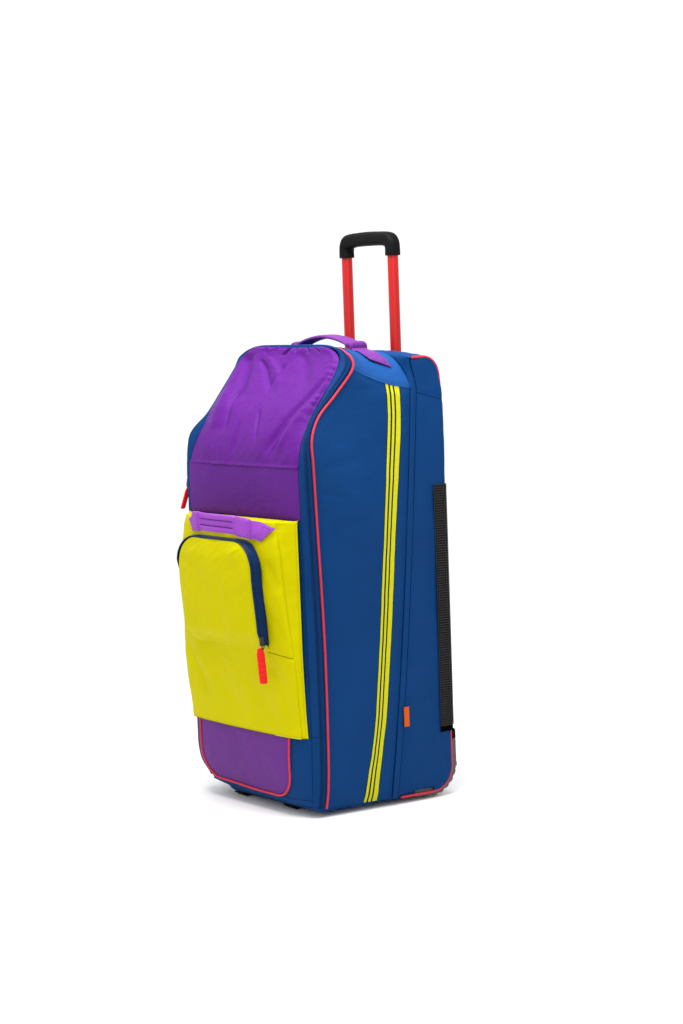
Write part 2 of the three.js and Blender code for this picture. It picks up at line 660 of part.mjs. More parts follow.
// A stitched band over the webbing, between two places along it.
function webbingBand(path, widthDirection, width, from, to, facing) {
  const curve = new THREE.CatmullRomCurve3(path, false, "centripetal");
  const away = (t) => {
    const along = curve.getTangentAt(t);
    const out = along.cross(widthDirection).normalize();
    const p = curve.getPointAt(t);
    return out.multiplyScalar(Math.sign(out.dot(p.clone().sub(facing))));
  };
  const strip = (u, v) => {
    const t = lerp(from, to, u);
    return curve
      .getPointAt(t)
      .addScaledVector(widthDirection, (v - 0.5) * width)
      .addScaledVector(away(t), BAND_WALL + 1);
  };
  return wallGeometry(strip, 3, 1, BAND_WALL, facing);
}

const mirrorPath = (half) => [...half, ...half.toReversed().slice(1).map((p) => point(-p.x, p.y, p.z))];
const TOP_HANDLE_SHARE = 0.67; // where the handle crosses the top panel, from its front edge to its rear
const onTop = (x, lift) => point(x, TOP_HANDLE_Y, topZ(x, TOP_HANDLE_SHARE) + WEBBING + lift);
const topHandlePath = mirrorPath([
  onTop(176, 7),
  onTop(153, 6),
  onTop(125, 4.5),
  point(102, TOP_HANDLE_Y, 857),
  point(79, TOP_HANDLE_Y, 867),
  point(42, TOP_HANDLE_Y, 876),
  point(0, TOP_HANDLE_Y, 880),
]);
const TOP_SLANT = 0.06;
const frontHandlePath = [
  point(157, -204, 521),
  point(124, -213.5, 529),
  point(93, -221, 537),
  point(52, -231, 541.5),
  point(0, -237, FRONT_HANDLE_Z),
  point(-50, -232, FRONT_HANDLE_Z),
  point(-86, -222, 540),
  point(-110, -213, 533),
  point(-132, -206, 525),
];
const FRONT_SLANT = 0.12;
const TOP_BAND = [0.234, 0.276];
const FRONT_BAND = [0.19, 0.31];
const ALONG_Y = point(0, 1, 0);
const UP = point(0, 0, 1);
const UNDER_TOP_HANDLE = point(0, TOP_HANDLE_Y, 600);
const BEHIND_FRONT_HANDLE = point(0, 0, FRONT_HANDLE_Z);

// Zip sliders and their pull tapes
const sliderGeometry = (x, y, z, turn = 0) =>
  boxBetween(point(-4, -3.5, -8), point(4, 3.5, 8)).rotateZ(turn).translate(x, y, z);
function pullGeometry(head, foot, width, thickness, turn = 0) {
  const run = foot.clone().sub(head).applyAxisAngle(point(0, 0, 1), -turn);
  const length = run.length();
  const taper = new THREE.Shape();
  taper.moveTo(-width * 0.3, 0);
  taper.lineTo(-width / 2, -length * 0.25);
  taper.lineTo(-width / 2, -length * 0.9);
  taper.lineTo(-width * 0.3, -length);
  taper.lineTo(width * 0.3, -length);
  taper.lineTo(width / 2, -length * 0.9);
  taper.lineTo(width / 2, -length * 0.25);
  taper.lineTo(width * 0.3, 0);
  taper.closePath();
  const hang = new THREE.Quaternion().setFromUnitVectors(point(0, -1, 0), run.normalize());
  return new THREE.ExtrudeGeometry(taper, { depth: thickness, bevelEnabled: false })
    .translate(0, 0, -thickness / 2)
    .applyQuaternion(hang)
    .rotateZ(turn)
    .translate(head.x, head.y, head.z);
}

// Pull handle

function gripGeometry() {
  const rows = [
    { x: -TUBE_X, z: COLLAR_FOOT, half: 12.6 },
    { x: -TUBE_X, z: COLLAR_FOOT + 14, half: 13 },
    { x: -TUBE_X + 2, z: COLLAR_FOOT + 24, half: 14 },
    { x: -TUBE_X + 9, z: GRIP_CORNER_Z, half: 14.5 },
    { x: -TUBE_X + 24, z: GRIP_CREST - 1, half: 13.6 },
    { x: -TUBE_X * 0.4, z: GRIP_CREST, half: 13.8 },
    { x: 0, z: GRIP_CREST + 0.5, half: 14 },
  ];
  const all = [...rows, ...rows.toReversed().slice(1).map((r) => ({ ...r, x: -r.x }))];
  const sides = 8;
  const points = [];
  const triangles = [];
  all.forEach((row, j) => {
    const before = all[Math.max(0, j - 1)];
    const after = all[Math.min(all.length - 1, j + 1)];
    const flatEnd = j === 0 || j === all.length - 1;
    const run = point(after.x - before.x, 0, after.z - before.z).normalize();
    const heading = flatEnd ? point(0, 0, j ? -1 : 1) : run;
    const across = point(-heading.z, 0, heading.x);
    for (let k = 0; k < sides; k++) {
      const angle = (2 * Math.PI * k) / sides;
      const p = point(row.x, TUBE_Y + GRIP_HALF_DEPTH * Math.sin(angle), row.z);
      points.push(p.addScaledVector(across, row.half * Math.cos(angle)));
    }
  });
  const last = (all.length - 1) * sides;
  for (let j = 0; j < all.length - 1; j++) {
    for (let k = 0; k < sides; k++) {
      const a = j * sides + k;
      const b = j * sides + ((k + 1) % sides);
      triangles.push([a, b, b + sides], [a, b + sides, a + sides]);
    }
  }
  for (let k = 1; k < sides - 1; k++) {
    triangles.push([0, k + 1, k], [last, last + k, last + k + 1]);
  }
  const socket = (x) =>
    uprightCylinder(TUBE_RADIUS + 0.4, COLLAR_FOOT - 5, COLLAR_FOOT + SOCKET_DEPTH, x, TUBE_Y);
  return cutAway(solidGeometry(points, triangles), socket(-TUBE_X), socket(TUBE_X));
}

// A thin tube, open at its foot.
function tubeGeometry(x) {
  const head = COLLAR_FOOT + SOCKET_DEPTH - 0.5;
  const outside = uprightCylinder(TUBE_RADIUS, TUBE_FOOT, head, x, TUBE_Y);
  const bore = uprightCylinder(TUBE_RADIUS - TUBE_WALL, TUBE_FOOT - 2, head - TUBE_WALL, x, TUBE_Y);
  return cutAway(outside, bore);
}

// The fixed guide that the tubes slide in: two sleeves joined by a bridge at each end.
function guideGeometry() {
  const outer = TUBE_RADIUS + GUIDE_WALL + 0.6;
  const sleeve = (x) => uprightCylinder(outer, GUIDE_FOOT, GUIDE_HEAD, x, TUBE_Y);
  const bore = (x) => uprightCylinder(TUBE_RADIUS + 0.6, GUIDE_FOOT - 2, GUIDE_HEAD + 2, x, TUBE_Y);
  const bridge = (foot, head) =>
    boxBetween(point(-TUBE_X, TUBE_Y - 6, foot), point(TUBE_X, TUBE_Y + 6, head));
  const body = joined(
    sleeve(-TUBE_X),
    sleeve(TUBE_X),
    bridge(GUIDE_FOOT, GUIDE_FOOT + 14),
    bridge(GUIDE_HEAD - 16, GUIDE_HEAD),
  );
  return cutAway(body, bore(-TUBE_X), bore(TUBE_X));
}

function rearTopPanel() {
  const hole = (x) => uprightCylinder(TUBE_RADIUS + 1.2, REAR_TOP - 60, REAR_TOP + 20, x, TUBE_Y);
  return cutAway(wallGeometry(rearBand(0.885, 0.995), 8, 6, WALL), hole(-TUBE_X), hole(TUBE_X));
}

// Wheels and guards

// The room that a guard and its wheel take out of the back panel.
const guardRoom = (side) => {
  const a = side * (GUARD_INNER_X - GAP);
  const b = side * (BACK_EDGE_X + 20);
  return boxBetween(
    point(Math.min(a, b), GUARD_FRONT_Y - 10, -20),
    point(Math.max(a, b), GUARD_BACK_Y + 20, GUARD_TOP + CAP_HEIGHT + GAP),
  );
};

// The guard's section in the YZ plane: a ribbed shell round the bag's corner that thickens over the wheel.
function guardGeometry(side) {
  const outline = new THREE.Shape();
  const cornerY = GUARD_BACK_Y - GUARD_RADIUS;
  const cornerZ = GUARD_FOOT + GUARD_RADIUS;
  outline.moveTo(GUARD_BACK_Y, GUARD_TOP);
  outline.lineTo(GUARD_BACK_Y, cornerZ);
  for (let k = 0; k < GUARD_RIBS; k++) {
    const from = -(Math.PI / 2) * ((k + 0.25) / GUARD_RIBS);
    const to = -(Math.PI / 2) * ((k + 0.75) / GUARD_RIBS);
    [[from, 0], [from, GUARD_RIB], [to, GUARD_RIB], [to, 0]].forEach(([angle, rise]) => {
      const radius = GUARD_RADIUS + rise;
      outline.lineTo(cornerY + radius * Math.cos(angle), cornerZ + radius * Math.sin(angle));
    });
  }
  outline.lineTo(cornerY, GUARD_FOOT);
  outline.lineTo(GUARD_FRONT_Y, GUARD_FOOT + 3);
  outline.lineTo(GUARD_FRONT_Y, GUARD_FOOT + 30);
  const roof = WHEEL_RADIUS + WHEEL_CLEAR + 5;
  for (const angle of [2.75, 2.3, 1.85, 1.4]) {
    outline.lineTo(AXLE_Y + roof * Math.cos(angle), WHEEL_RADIUS + roof * Math.sin(angle));
  }
  outline.lineTo(GUARD_BACK_Y - GUARD_SHELL, GUARD_TOP);
  outline.closePath();
  const width = GUARD_OUTER_X - GUARD_INNER_X;
  const from = side > 0 ? GUARD_INNER_X : -GUARD_OUTER_X;
  const block = new THREE.ExtrudeGeometry(outline, { depth: width, bevelEnabled: false })
    .applyMatrix4(new THREE.Matrix4().makeBasis(point(0, 1, 0), point(0, 0, 1), point(1, 0, 0)))
    .translate(from, 0, 0);
  const x0 = side * WHEEL_X - WHEEL_WIDTH / 2 - 2.5;
  const well = cylinderAlongX(WHEEL_RADIUS + WHEEL_CLEAR, x0, x0 + WHEEL_WIDTH + 5, AXLE_Y, WHEEL_RADIUS, 28);
  const axleHole = cylinderAlongX(AXLE_RADIUS + 0.4, x0 - 8, x0 + WHEEL_WIDTH + 13, AXLE_Y, WHEEL_RADIUS, 12);
  return cutAway(block, well, axleHole);
}

const axleGeometry = (side) => {
  const x0 = side * WHEEL_X - WHEEL_WIDTH / 2 - 9;
  return cylinderAlongX(AXLE_RADIUS, x0, x0 + WHEEL_WIDTH + 18, AXLE_Y, WHEEL_RADIUS, 12);
};

// A ring turned about the wheel's axle from a half section of radius and offset.
const wheelRing = (section, side) =>
  new THREE.LatheGeometry(section.map(([r, x]) => new THREE.Vector2(r, x)), 16)
    .rotateZ(-Math.PI / 2)
    .translate(side * WHEEL_X, AXLE_Y, WHEEL_RADIUS);
const HALF_WHEEL = WHEEL_WIDTH / 2;
const TYRE_SECTION = [
  [HUB_RADIUS + 0.4, -HALF_WHEEL + 2],
  [WHEEL_RADIUS - 5, -HALF_WHEEL],
  [WHEEL_RADIUS - 1, -HALF_WHEEL + 4],
  [WHEEL_RADIUS, 0],
  [WHEEL_RADIUS - 1, HALF_WHEEL - 4],
  [WHEEL_RADIUS - 5, HALF_WHEEL],
  [HUB_RADIUS + 0.4, HALF_WHEEL - 2],
  [HUB_RADIUS + 0.4, -HALF_WHEEL + 2],
];
const HUB_SECTION = [
  [AXLE_RADIUS + 0.5, -HALF_WHEEL],
  [HUB_RADIUS * 0.5, -HALF_WHEEL],
  [HUB_RADIUS * 0.6, -HALF_WHEEL + 5],
  [HUB_RADIUS - 3, -HALF_WHEEL + 5],
  [HUB_RADIUS, -HALF_WHEEL + 2],
  [HUB_RADIUS, HALF_WHEEL - 2],
  [HUB_RADIUS - 3, HALF_WHEEL - 5],
  [HUB_RADIUS * 0.6, HALF_WHEEL - 5],
  [HUB_RADIUS * 0.5, HALF_WHEEL],
  [AXLE_RADIUS + 0.5, HALF_WHEEL],
  [AXLE_RADIUS + 0.5, -HALF_WHEEL],
];

// A black end piece on top of each guard.
function guardCap(side) {
  const outline = new THREE.Shape();
  const front = GUARD_BACK_Y - GUARD_SHELL - 1;
  const foot = GUARD_TOP + 0.5;
  outline.moveTo(GUARD_BACK_Y + 1, foot);
  outline.lineTo(GUARD_BACK_Y + 1, foot + CAP_HEIGHT - 9);
  outline.quadraticCurveTo(GUARD_BACK_Y + 1, foot + CAP_HEIGHT - 1, front + 3, foot + CAP_HEIGHT - 1);
  outline.lineTo(front, foot + CAP_HEIGHT - 1);
  outline.lineTo(front, foot);
  outline.closePath();
  const from = side > 0 ? GUARD_INNER_X + 1 : -GUARD_OUTER_X + 1;
  const width = GUARD_OUTER_X - GUARD_INNER_X - 2;
  return new THREE.ExtrudeGeometry(outline, { depth: width, bevelEnabled: false, curveSegments: 4 })
    .applyMatrix4(new THREE.Matrix4().makeBasis(point(0, 1, 0), point(0, 0, 1), point(1, 0, 0)))
    .translate(from, 0, 0);
}

// A plastic runner under the front of the bag, with a turned-up nose.
function skidGeometry(side) {
  const head = BODY_BOTTOM - GAP;
  const outline = new THREE.Shape();
  outline.moveTo(SKID_FRONT_Y, head);
  outline.lineTo(SKID_FRONT_Y, head - 2);
  outline.lineTo(SKID_FRONT_Y + 10, 0);
  outline.lineTo(SKID_BACK_Y - 10, 0);
  outline.lineTo(SKID_BACK_Y, head - 2);
  outline.lineTo(SKID_BACK_Y, head);
  outline.closePath();
  return new THREE.ExtrudeGeometry(outline, { depth: SKID_WIDTH, bevelEnabled: false })
    .applyMatrix4(new THREE.Matrix4().makeBasis(point(0, 1, 0), point(0, 0, 1), point(1, 0, 0)))
    .translate(side * SKID_X - SKID_WIDTH / 2, 0, 0);
}

// A vent of mesh that wraps the rear corner over the piping.
function ventMesh(u, v) {
  const z = lerp(MESH_FOOT, MESH_TOP, v);
  const onSide = clamp01(u / 0.35);
  const round = clamp01((u - 0.35) / 0.2);
  const onBack = clamp01((u - 0.55) / 0.45);
  const y = lerp(MESH_FRONT_Y, BACK_Y - REAR_CORNER, onSide);
  const start = point(sideX(y, z) + MESH_WALL + GAP, y, z);
  if (round === 0) return start;
  const end = point(lerp(184, MESH_BACK_X, onBack), BACK_Y + BACK_SWELL + 0.6, z);
  if (round === 1) return end;
  const corner = point(210, 168.5, z);
  return start
    .multiplyScalar((1 - round) ** 2)
    .addScaledVector(corner, 2 * round * (1 - round))
    .addScaledVector(end, round * round);
}

function labelGeometry() {
  const y = zipFrontY(LABEL_FOOT) + ZIP_WIDTH;
  const x = sideX(y, LABEL_FOOT + LABEL_HEIGHT / 2) + GAP + 1.4;
  const head = LABEL_FOOT + LABEL_HEIGHT;
  return boxBetween(point(x, y - 1, LABEL_FOOT), point(x + 2, y - 1 + LABEL_REACH, head));
}

// Assembly

const bag = new THREE.Group();
bag.position.y = (FRONT_REACH - BACK_REACH) / 2;

function add(name, colour, geometry) {
  const mesh = new THREE.Mesh(geometry, new THREE.MeshStandardMaterial(COLOURS[colour]));
  mesh.name = name;
  bag.add(mesh);
}

add("front_frame", "blue", wallGeometry(frontFrame, 3, 40, WALL));
const upperFront = frontPanel(FRAME_SEAM_ROW + 0.02, FRAME_TOP_ROW, true);
const middleFront = frontPanel(POCKET_TOP_FRAME_ROW, FRAME_SEAM_ROW, false);
const lowerFront = frontPanel(0, POCKET_TOP_FRAME_ROW - 0.01, false);
add("front_panel_upper", "purple", wallGeometry(upperFront, 16, 8, WALL));
add("front_panel_middle", "purple", wallGeometry(middleFront, 6, 2, WALL));
add("front_panel_lower", "blue", wallGeometry(lowerFront, 8, 8, WALL));
add("front_patch", "purple", wallGeometry(frontPatch, 8, 6, PATCH_WALL));
add("top_panel", "blue", wallGeometry(topPanel, 18, 4, WALL));
add("main_zip", "navy", wallGeometry(zipBand, 50, 1, WALL));
add("bottom_panel", "blue", bottomPanel());
const backSheet = wallGeometry(rearBand(0, 0.884), 6, 16, WALL);
add("back_panel", "blue", cutAway(backSheet, guardRoom(1), guardRoom(-1)));
add("rear_top_panel", "blue", rearTopPanel());
for (const [side, hand] of [[1, "right"], [-1, "left"]]) {
  const onSide = (surface) => (side > 0 ? surface : mirrored(surface));
  add("side_panel_" + hand, "blue", wallGeometry(sidePanel(side), 5, 14, WALL));
  add("rear_side_" + hand, "blue", wallGeometry(onSide(rearSidePanel), 6, 13, WALL));
  add("rear_piping_" + hand, "red", barGeometry(rearPiping(side), PIPING_RADIUS, 32, 5));
  add("vent_mesh_" + hand, "black", wallGeometry(onSide(ventMesh), 12, 2, MESH_WALL));
  add("wheel_guard_" + hand, "grey", guardGeometry(side));
  add("guard_cap_" + hand, "black", guardCap(side));
  add("axle_" + hand, "steel", axleGeometry(side));
  add("wheel_tyre_" + hand, "black", wheelRing(TYRE_SECTION, side));
  add("wheel_hub_" + hand, "grey", wheelRing(HUB_SECTION, side));
  add("skid_" + hand, "black", skidGeometry(side));
  add("pull_tube_" + hand, "tubeRed", tubeGeometry(side * TUBE_X));
  const topBand = side > 0 ? TOP_BAND : TOP_BAND.map((t) => 1 - t);
  const frontBand = side > 0 ? FRONT_BAND : FRONT_BAND.map((t) => 1 - t);
  add(
    "top_handle_band_" + hand,
    "purple",
    webbingBand(topHandlePath, ALONG_Y, TOP_HANDLE_WIDTH + 4, ...topBand, UNDER_TOP_HANDLE),
  );
  add(
    "front_handle_band_" + hand,
    "purple",
    webbingBand(frontHandlePath, UP, FRONT_HANDLE_WIDTH + 4, ...frontBand, BEHIND_FRONT_HANDLE),
  );
}
add("front_piping", "red", barGeometry(frontPiping(), PIPING_RADIUS, 52, 5));
add("patch_piping", "red", barGeometry(patchPiping(), PIPING_RADIUS, 26, 5));
add("pocket_tray", "yellow", wallGeometry(pocketTray, 20, 8, WALL, point(0, -150, 300)));
add("pouch_face", "yellow", wallGeometry(pouchFace, 8, 8, POUCH_WALL, point(0, 0, 400)));
add("pouch_zip", "navy", wallGeometry(pouchZip, 30, 1, POUCH_WALL, point(0, -210, 400)));
add(
  "top_handle",
  "purple",
  webbing(topHandlePath, ALONG_Y, TOP_HANDLE_WIDTH, 22, UNDER_TOP_HANDLE, TOP_SLANT),
);
add(
  "front_handle",
  "purple",
  webbing(frontHandlePath, UP, FRONT_HANDLE_WIDTH, 20, BEHIND_FRONT_HANDLE, FRONT_SLANT),
);
add("pull_grip", "black", gripGeometry());
add("pull_guide", "steel", guideGeometry());
add("side_label", "orange", labelGeometry());
const POUCH_PULL_TURN = Math.PI / 2.6;
const FRAME_PULL_TURN = -Math.PI / 2.1;
add("pouch_slider", "black", sliderGeometry(POUCH_HALF + 9, -222, 330, Math.PI / 2));
add("pouch_pull", "red", pullGeometry(point(132, -226, 318), point(138, -224, 252), 13, 4, POUCH_PULL_TURN));
add("frame_slider_upper", "black", sliderGeometry(-209, -152, 604, FRAME_PULL_TURN));
add(
  "frame_pull_upper",
  "red",
  pullGeometry(point(-209, -154, 595), point(-209.5, -169, 553), 11, 3, FRAME_PULL_TURN),
);
add("frame_slider_lower", "black", sliderGeometry(-210, -146, 566, FRAME_PULL_TURN));
add(
  "frame_pull_lower",
  "red",
  pullGeometry(point(-210.5, -147, 557), point(-211.5, -152, 516), 11, 3, FRAME_PULL_TURN),
);

export default bag;
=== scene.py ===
"""A wheeled gear bag, dressed: sewn cloth panels, zips, piping, webbing handles, a pull handle and wheels.

Shapes are worked out in millimetres in the bag's own frame, +Z up with the front facing -Y, and are put into
meshes in metres in the shared frame.
"""
import math

import bpy
import numpy as np
from mathutils import Matrix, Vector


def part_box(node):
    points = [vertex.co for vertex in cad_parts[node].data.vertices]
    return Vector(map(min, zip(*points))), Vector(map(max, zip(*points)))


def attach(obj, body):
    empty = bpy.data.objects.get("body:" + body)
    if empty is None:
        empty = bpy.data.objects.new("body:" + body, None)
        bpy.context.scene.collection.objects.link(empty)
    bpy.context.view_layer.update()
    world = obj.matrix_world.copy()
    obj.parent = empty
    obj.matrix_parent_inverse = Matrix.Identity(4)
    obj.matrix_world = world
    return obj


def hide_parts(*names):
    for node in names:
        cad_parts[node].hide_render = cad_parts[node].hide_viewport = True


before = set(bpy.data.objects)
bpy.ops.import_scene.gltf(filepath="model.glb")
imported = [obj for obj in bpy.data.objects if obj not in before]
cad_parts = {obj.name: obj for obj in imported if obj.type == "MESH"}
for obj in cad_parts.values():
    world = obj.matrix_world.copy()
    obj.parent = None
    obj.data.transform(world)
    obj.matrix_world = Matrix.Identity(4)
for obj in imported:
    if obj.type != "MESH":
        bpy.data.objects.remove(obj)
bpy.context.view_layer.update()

# The stage
# A white studio floor under two soft boxes, with two wide fills, and the camera at the front right corner, a
# little above the middle of the bag. The bag's own zero is BODY_SHIFT from the shared frame's.
AXLE_Y = 116
AXLE_Z = 42
BODY_SHIFT = 500 * sum(corner.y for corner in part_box("axle_right")) - AXLE_Y
PHOTO_WIDTH = 683
PHOTO_HEIGHT = 1024
CAMERA_TURN = math.radians(55.2)
CAMERA_DISTANCE = 4.6143
CAMERA_HEIGHT = 0.9477
CAMERA_DROP = math.radians(5.0)
CAMERA_ROLL = math.radians(-2.1)
FOCAL_PIXELS = 2411.7
OPTICAL_AXIS_X = 315.3
SENSOR = 36


def metres(points):
    """Millimetres in the bag's own frame as metres in the shared frame."""
    return (np.asarray(points, float) + [0, BODY_SHIFT, 0]) / 1000


def place_camera():
    """Looks along the turn's heading, tipped down by the drop and rolled about its own axis."""
    turn, drop, roll = CAMERA_TURN, CAMERA_DROP, CAMERA_ROLL
    heading = np.array([-math.sin(turn), math.cos(turn), 0])
    level = np.array([math.cos(turn), math.sin(turn), 0])
    up = np.array([0, 0, 1])
    ahead = heading * math.cos(drop) - up * math.sin(drop)
    upright = heading * math.sin(drop) + up * math.cos(drop)
    right = level * math.cos(roll) + upright * math.sin(roll)
    top = upright * math.cos(roll) - level * math.sin(roll)
    data = bpy.data.cameras.new("camera")
    data.sensor_width = SENSOR
    data.lens = SENSOR * FOCAL_PIXELS / PHOTO_HEIGHT
    data.shift_x = (PHOTO_WIDTH / 2 - OPTICAL_AXIS_X) / PHOTO_HEIGHT
    camera = bpy.data.objects.new("camera", data)
    place = -heading * CAMERA_DISTANCE + up * CAMERA_HEIGHT + metres([0, 0, 0])
    matrix = np.eye(4)
    matrix[:3, :4] = np.column_stack([right, top, -ahead, place])
    camera.matrix_world = Matrix(matrix.tolist())
    bpy.context.scene.collection.objects.link(camera)
    bpy.context.scene.camera = camera


def soft_box(name, place, aim, size, watts):
    """A square area light at a place, facing its aim."""
    data = bpy.data.lights.new(name, "AREA")
    data.size = size
    data.energy = watts
    light = bpy.data.objects.new(name, data)
    back = np.array(place, float) - np.array(aim, float)
    back /= np.linalg.norm(back)
    side = np.cross([0, 1, 0.01], back)
    side /= np.linalg.norm(side)
    matrix = np.eye(4)
    matrix[:3, :4] = np.column_stack([side, np.cross(back, side), back, place])
    light.matrix_world = Matrix(matrix.tolist())
    light.visible_camera = False
    bpy.context.scene.collection.objects.link(light)


place_camera()
soft_box("over", (0.05, -0.3, 1.6), (0, -0.05, 0.8), 0.7, 17)
soft_box("over_right", (0.5, 0.05, 1.55), (0.1, 0.05, 0.8), 0.5, 9)
soft_box("fill_right", (2.6, -1.6, 1.5), (0, 0, 0.4), 2.0, 12)
soft_box("fill_front", (-0.8, -3.2, 1.7), (0, 0, 0.45), 2.2, 4)
world = bpy.data.worlds.new("studio")
world.use_nodes = True
world.node_tree.nodes["Background"].inputs["Color"].default_value = (1, 1, 1, 1)
world.node_tree.nodes["Background"].inputs["Strength"].default_value = 1.06
bpy.context.scene.world = world
bpy.context.scene.view_settings.view_transform = "Standard"

FLOOR_REACH = 30
floor_mesh = bpy.data.meshes.new("floor")
floor_corners = [(-FLOOR_REACH, -FLOOR_REACH, 0), (FLOOR_REACH, -FLOOR_REACH, 0),
                 (FLOOR_REACH, FLOOR_REACH, 0), (-FLOOR_REACH, FLOOR_REACH, 0)]
floor_mesh.from_pydata(floor_corners, [], [(0, 1, 2, 3)])
floor = bpy.data.objects.new("floor", floor_mesh)
bpy.context.scene.collection.objects.link(floor)
floor_paint = bpy.data.materials.new("floor_paint")
floor_paint.use_nodes = True
floor_paint.node_tree.nodes["Principled BSDF"].inputs["Base Color"].default_value = (0.97, 0.97, 0.97, 1)
floor_paint.node_tree.nodes["Principled BSDF"].inputs["Roughness"].default_value = 0.7
floor_mesh.materials.append(floor_paint)

# The blue body
# The bag's walls are coated woven polyester on a thin stiff backing, cut as panels and sewn edge to edge: two
# side panels with printed yellow stripes, two rear sides, the top, the rear top, the back, the bottom and the
# lower front. Each panel sinks towards its seams and has low soft ripples.
HALF_WIDTH = 202
BACK_Y = 160
BODY_BOTTOM = 9
SIDE_BOTTOM = 14
SIDE_BULGE = 12
SIDE_SEAM_REAR = 780
WALL = 2.5
GAP = 0.8
SEAM_ALLOWANCE = 9
FRONT_ALLOWANCE = 6
PIPING_RADIUS = 2.3
PIPING_SLOT = 9.5
BODY = "bag"
INSIDE = np.array([0, 0, 430])
BLUE = (0.0016, 0.034, 0.132)
THREAD_PITCH = 0.00085
STITCH = 0.0036
ON_LINE = 100  # the value that points carry at a seam or a row of stitches, where 0 is nowhere near one


def smooth(t):
    """Eases from 0 to 1: three squares less two cubes, held outside."""
    t = np.clip(t, 0, 1)
    return t * t * (3 - 2 * t)


def lerp(a, b, t):
    """Straight from a at 0 to b at 1."""
    return a + (np.asarray(b) - a) * t


def through(points, t):
    """A smooth curve through points at t from 0 to 1: cubics with slopes of half their neighbours' chord."""
    points = np.asarray(points, float)
    lined = np.concatenate([[2 * points[0] - points[1]], points, [2 * points[-1] - points[-2]]])
    place = np.clip(t, 0, 1) * (len(points) - 1)
    k = np.minimum(np.floor(place).astype(int), len(points) - 2)
    w = place - k
    if points.ndim > 1:
        w = w[..., None]
    a, b, c, d = (lined[k + i] for i in range(4))
    return b + 0.5 * w * (c - a + w * (2 * a - 5 * b + 4 * c - d + w * (3 * (b - c) + d - a)))


def read_rows(rows, key, at, by="z"):
    """A column of a table of rows, read smoothly at values of its leading column."""
    lead = [row[by] for row in rows]
    share = np.interp(at, lead, np.linspace(0, 1, len(rows)))
    return through([row[key] for row in rows], share)


def xyz(x, y, z):
    """Three arrays of one shape as points."""
    return np.stack(np.broadcast_arrays(*(np.asarray(c, float) for c in (x, y, z))), axis=-1)


def grid(across, along, rim=0.35):
    """Parameters from 0 to 1, u along the columns and v along the rows, with finer steps at the rims."""
    def line(steps):
        """Even steps less a sine, which draws them towards both ends."""
        t = np.linspace(0, 1, steps + 1)
        return t - rim * np.sin(2 * math.pi * t) / (2 * math.pi)
    return np.meshgrid(line(across), line(along))


def run_along(points, axis):
    """Distance run along a grid's lines in one direction, from their start."""
    step = np.linalg.norm(np.diff(points, axis=axis), axis=-1)
    pad = [(0, 0)] * step.ndim
    pad[axis] = (1, 0)
    return np.cumsum(np.pad(step, pad), axis=axis)


def unit(vectors):
    """Vectors scaled to length one."""
    return vectors / np.maximum(np.linalg.norm(vectors, axis=-1, keepdims=True), 1e-9)


def outward(points, inside):
    """Unit normals of a grid: the cross product of its two differences, turned away from a point inside."""
    n = unit(np.cross(np.gradient(points, axis=1), np.gradient(points, axis=0)))
    return n if np.sum(n * (points - inside)) > 0 else -n


def soft_noise(a, b, size, seed):
    """Smooth noise of about plus or minus one: eight sine waves of about this length in seeded directions."""
    rng = np.random.default_rng(seed)
    total = np.zeros(np.shape(a))
    for _ in range(8):
        turn, phase = rng.uniform(0, 2 * math.pi, 2)
        length = size * rng.uniform(0.7, 1.5)
        total += np.sin(2 * math.pi * (a * math.cos(turn) + b * math.sin(turn)) / length + phase)
    return total / 4


def fold(a, b, start, end, width):
    """A fold: a bell across the straight line from start to end in a panel's plane, fading at both ends."""
    run = np.subtract(end, start).astype(float)
    length = math.hypot(*run)
    t = ((a - start[0]) * run[0] + (b - start[1]) * run[1]) / length ** 2
    off = ((a - start[0]) * run[1] - (b - start[1]) * run[0]) / length
    return np.exp(-(off / width) ** 2) * smooth(t / 0.3 + 0.3) * smooth((1 - t) / 0.3 + 0.3)


def all_folds(a, b, rows):
    """The depths of several folds, added up."""
    return sum(row["depth"] * fold(a, b, row["start"], row["end"], row["width"]) for row in rows)


FOOT_LIFT = 4
FOOT_LIFT_LEFT = 5
FOOT_LIFT_CORNER = 8
LEFT_CORNER_X = -100


def drawn_up(points):
    """The foot of the front is drawn up, most at its left corner, by a lift that fades upward and back."""
    x, y, z = np.moveaxis(points, -1, 0)
    from_corner = LEFT_CORNER_X - x
    lift = FOOT_LIFT + FOOT_LIFT_LEFT * smooth((60 - x) / 160) + FOOT_LIFT_CORNER * smooth(from_corner / 90)
    leftward = smooth(from_corner / 40)
    front = smooth((lerp(-143, -40, leftward) - y) / lerp(18, 70, leftward))
    return points + xyz(0, 0, lift * front * smooth((136 - z) / 120))


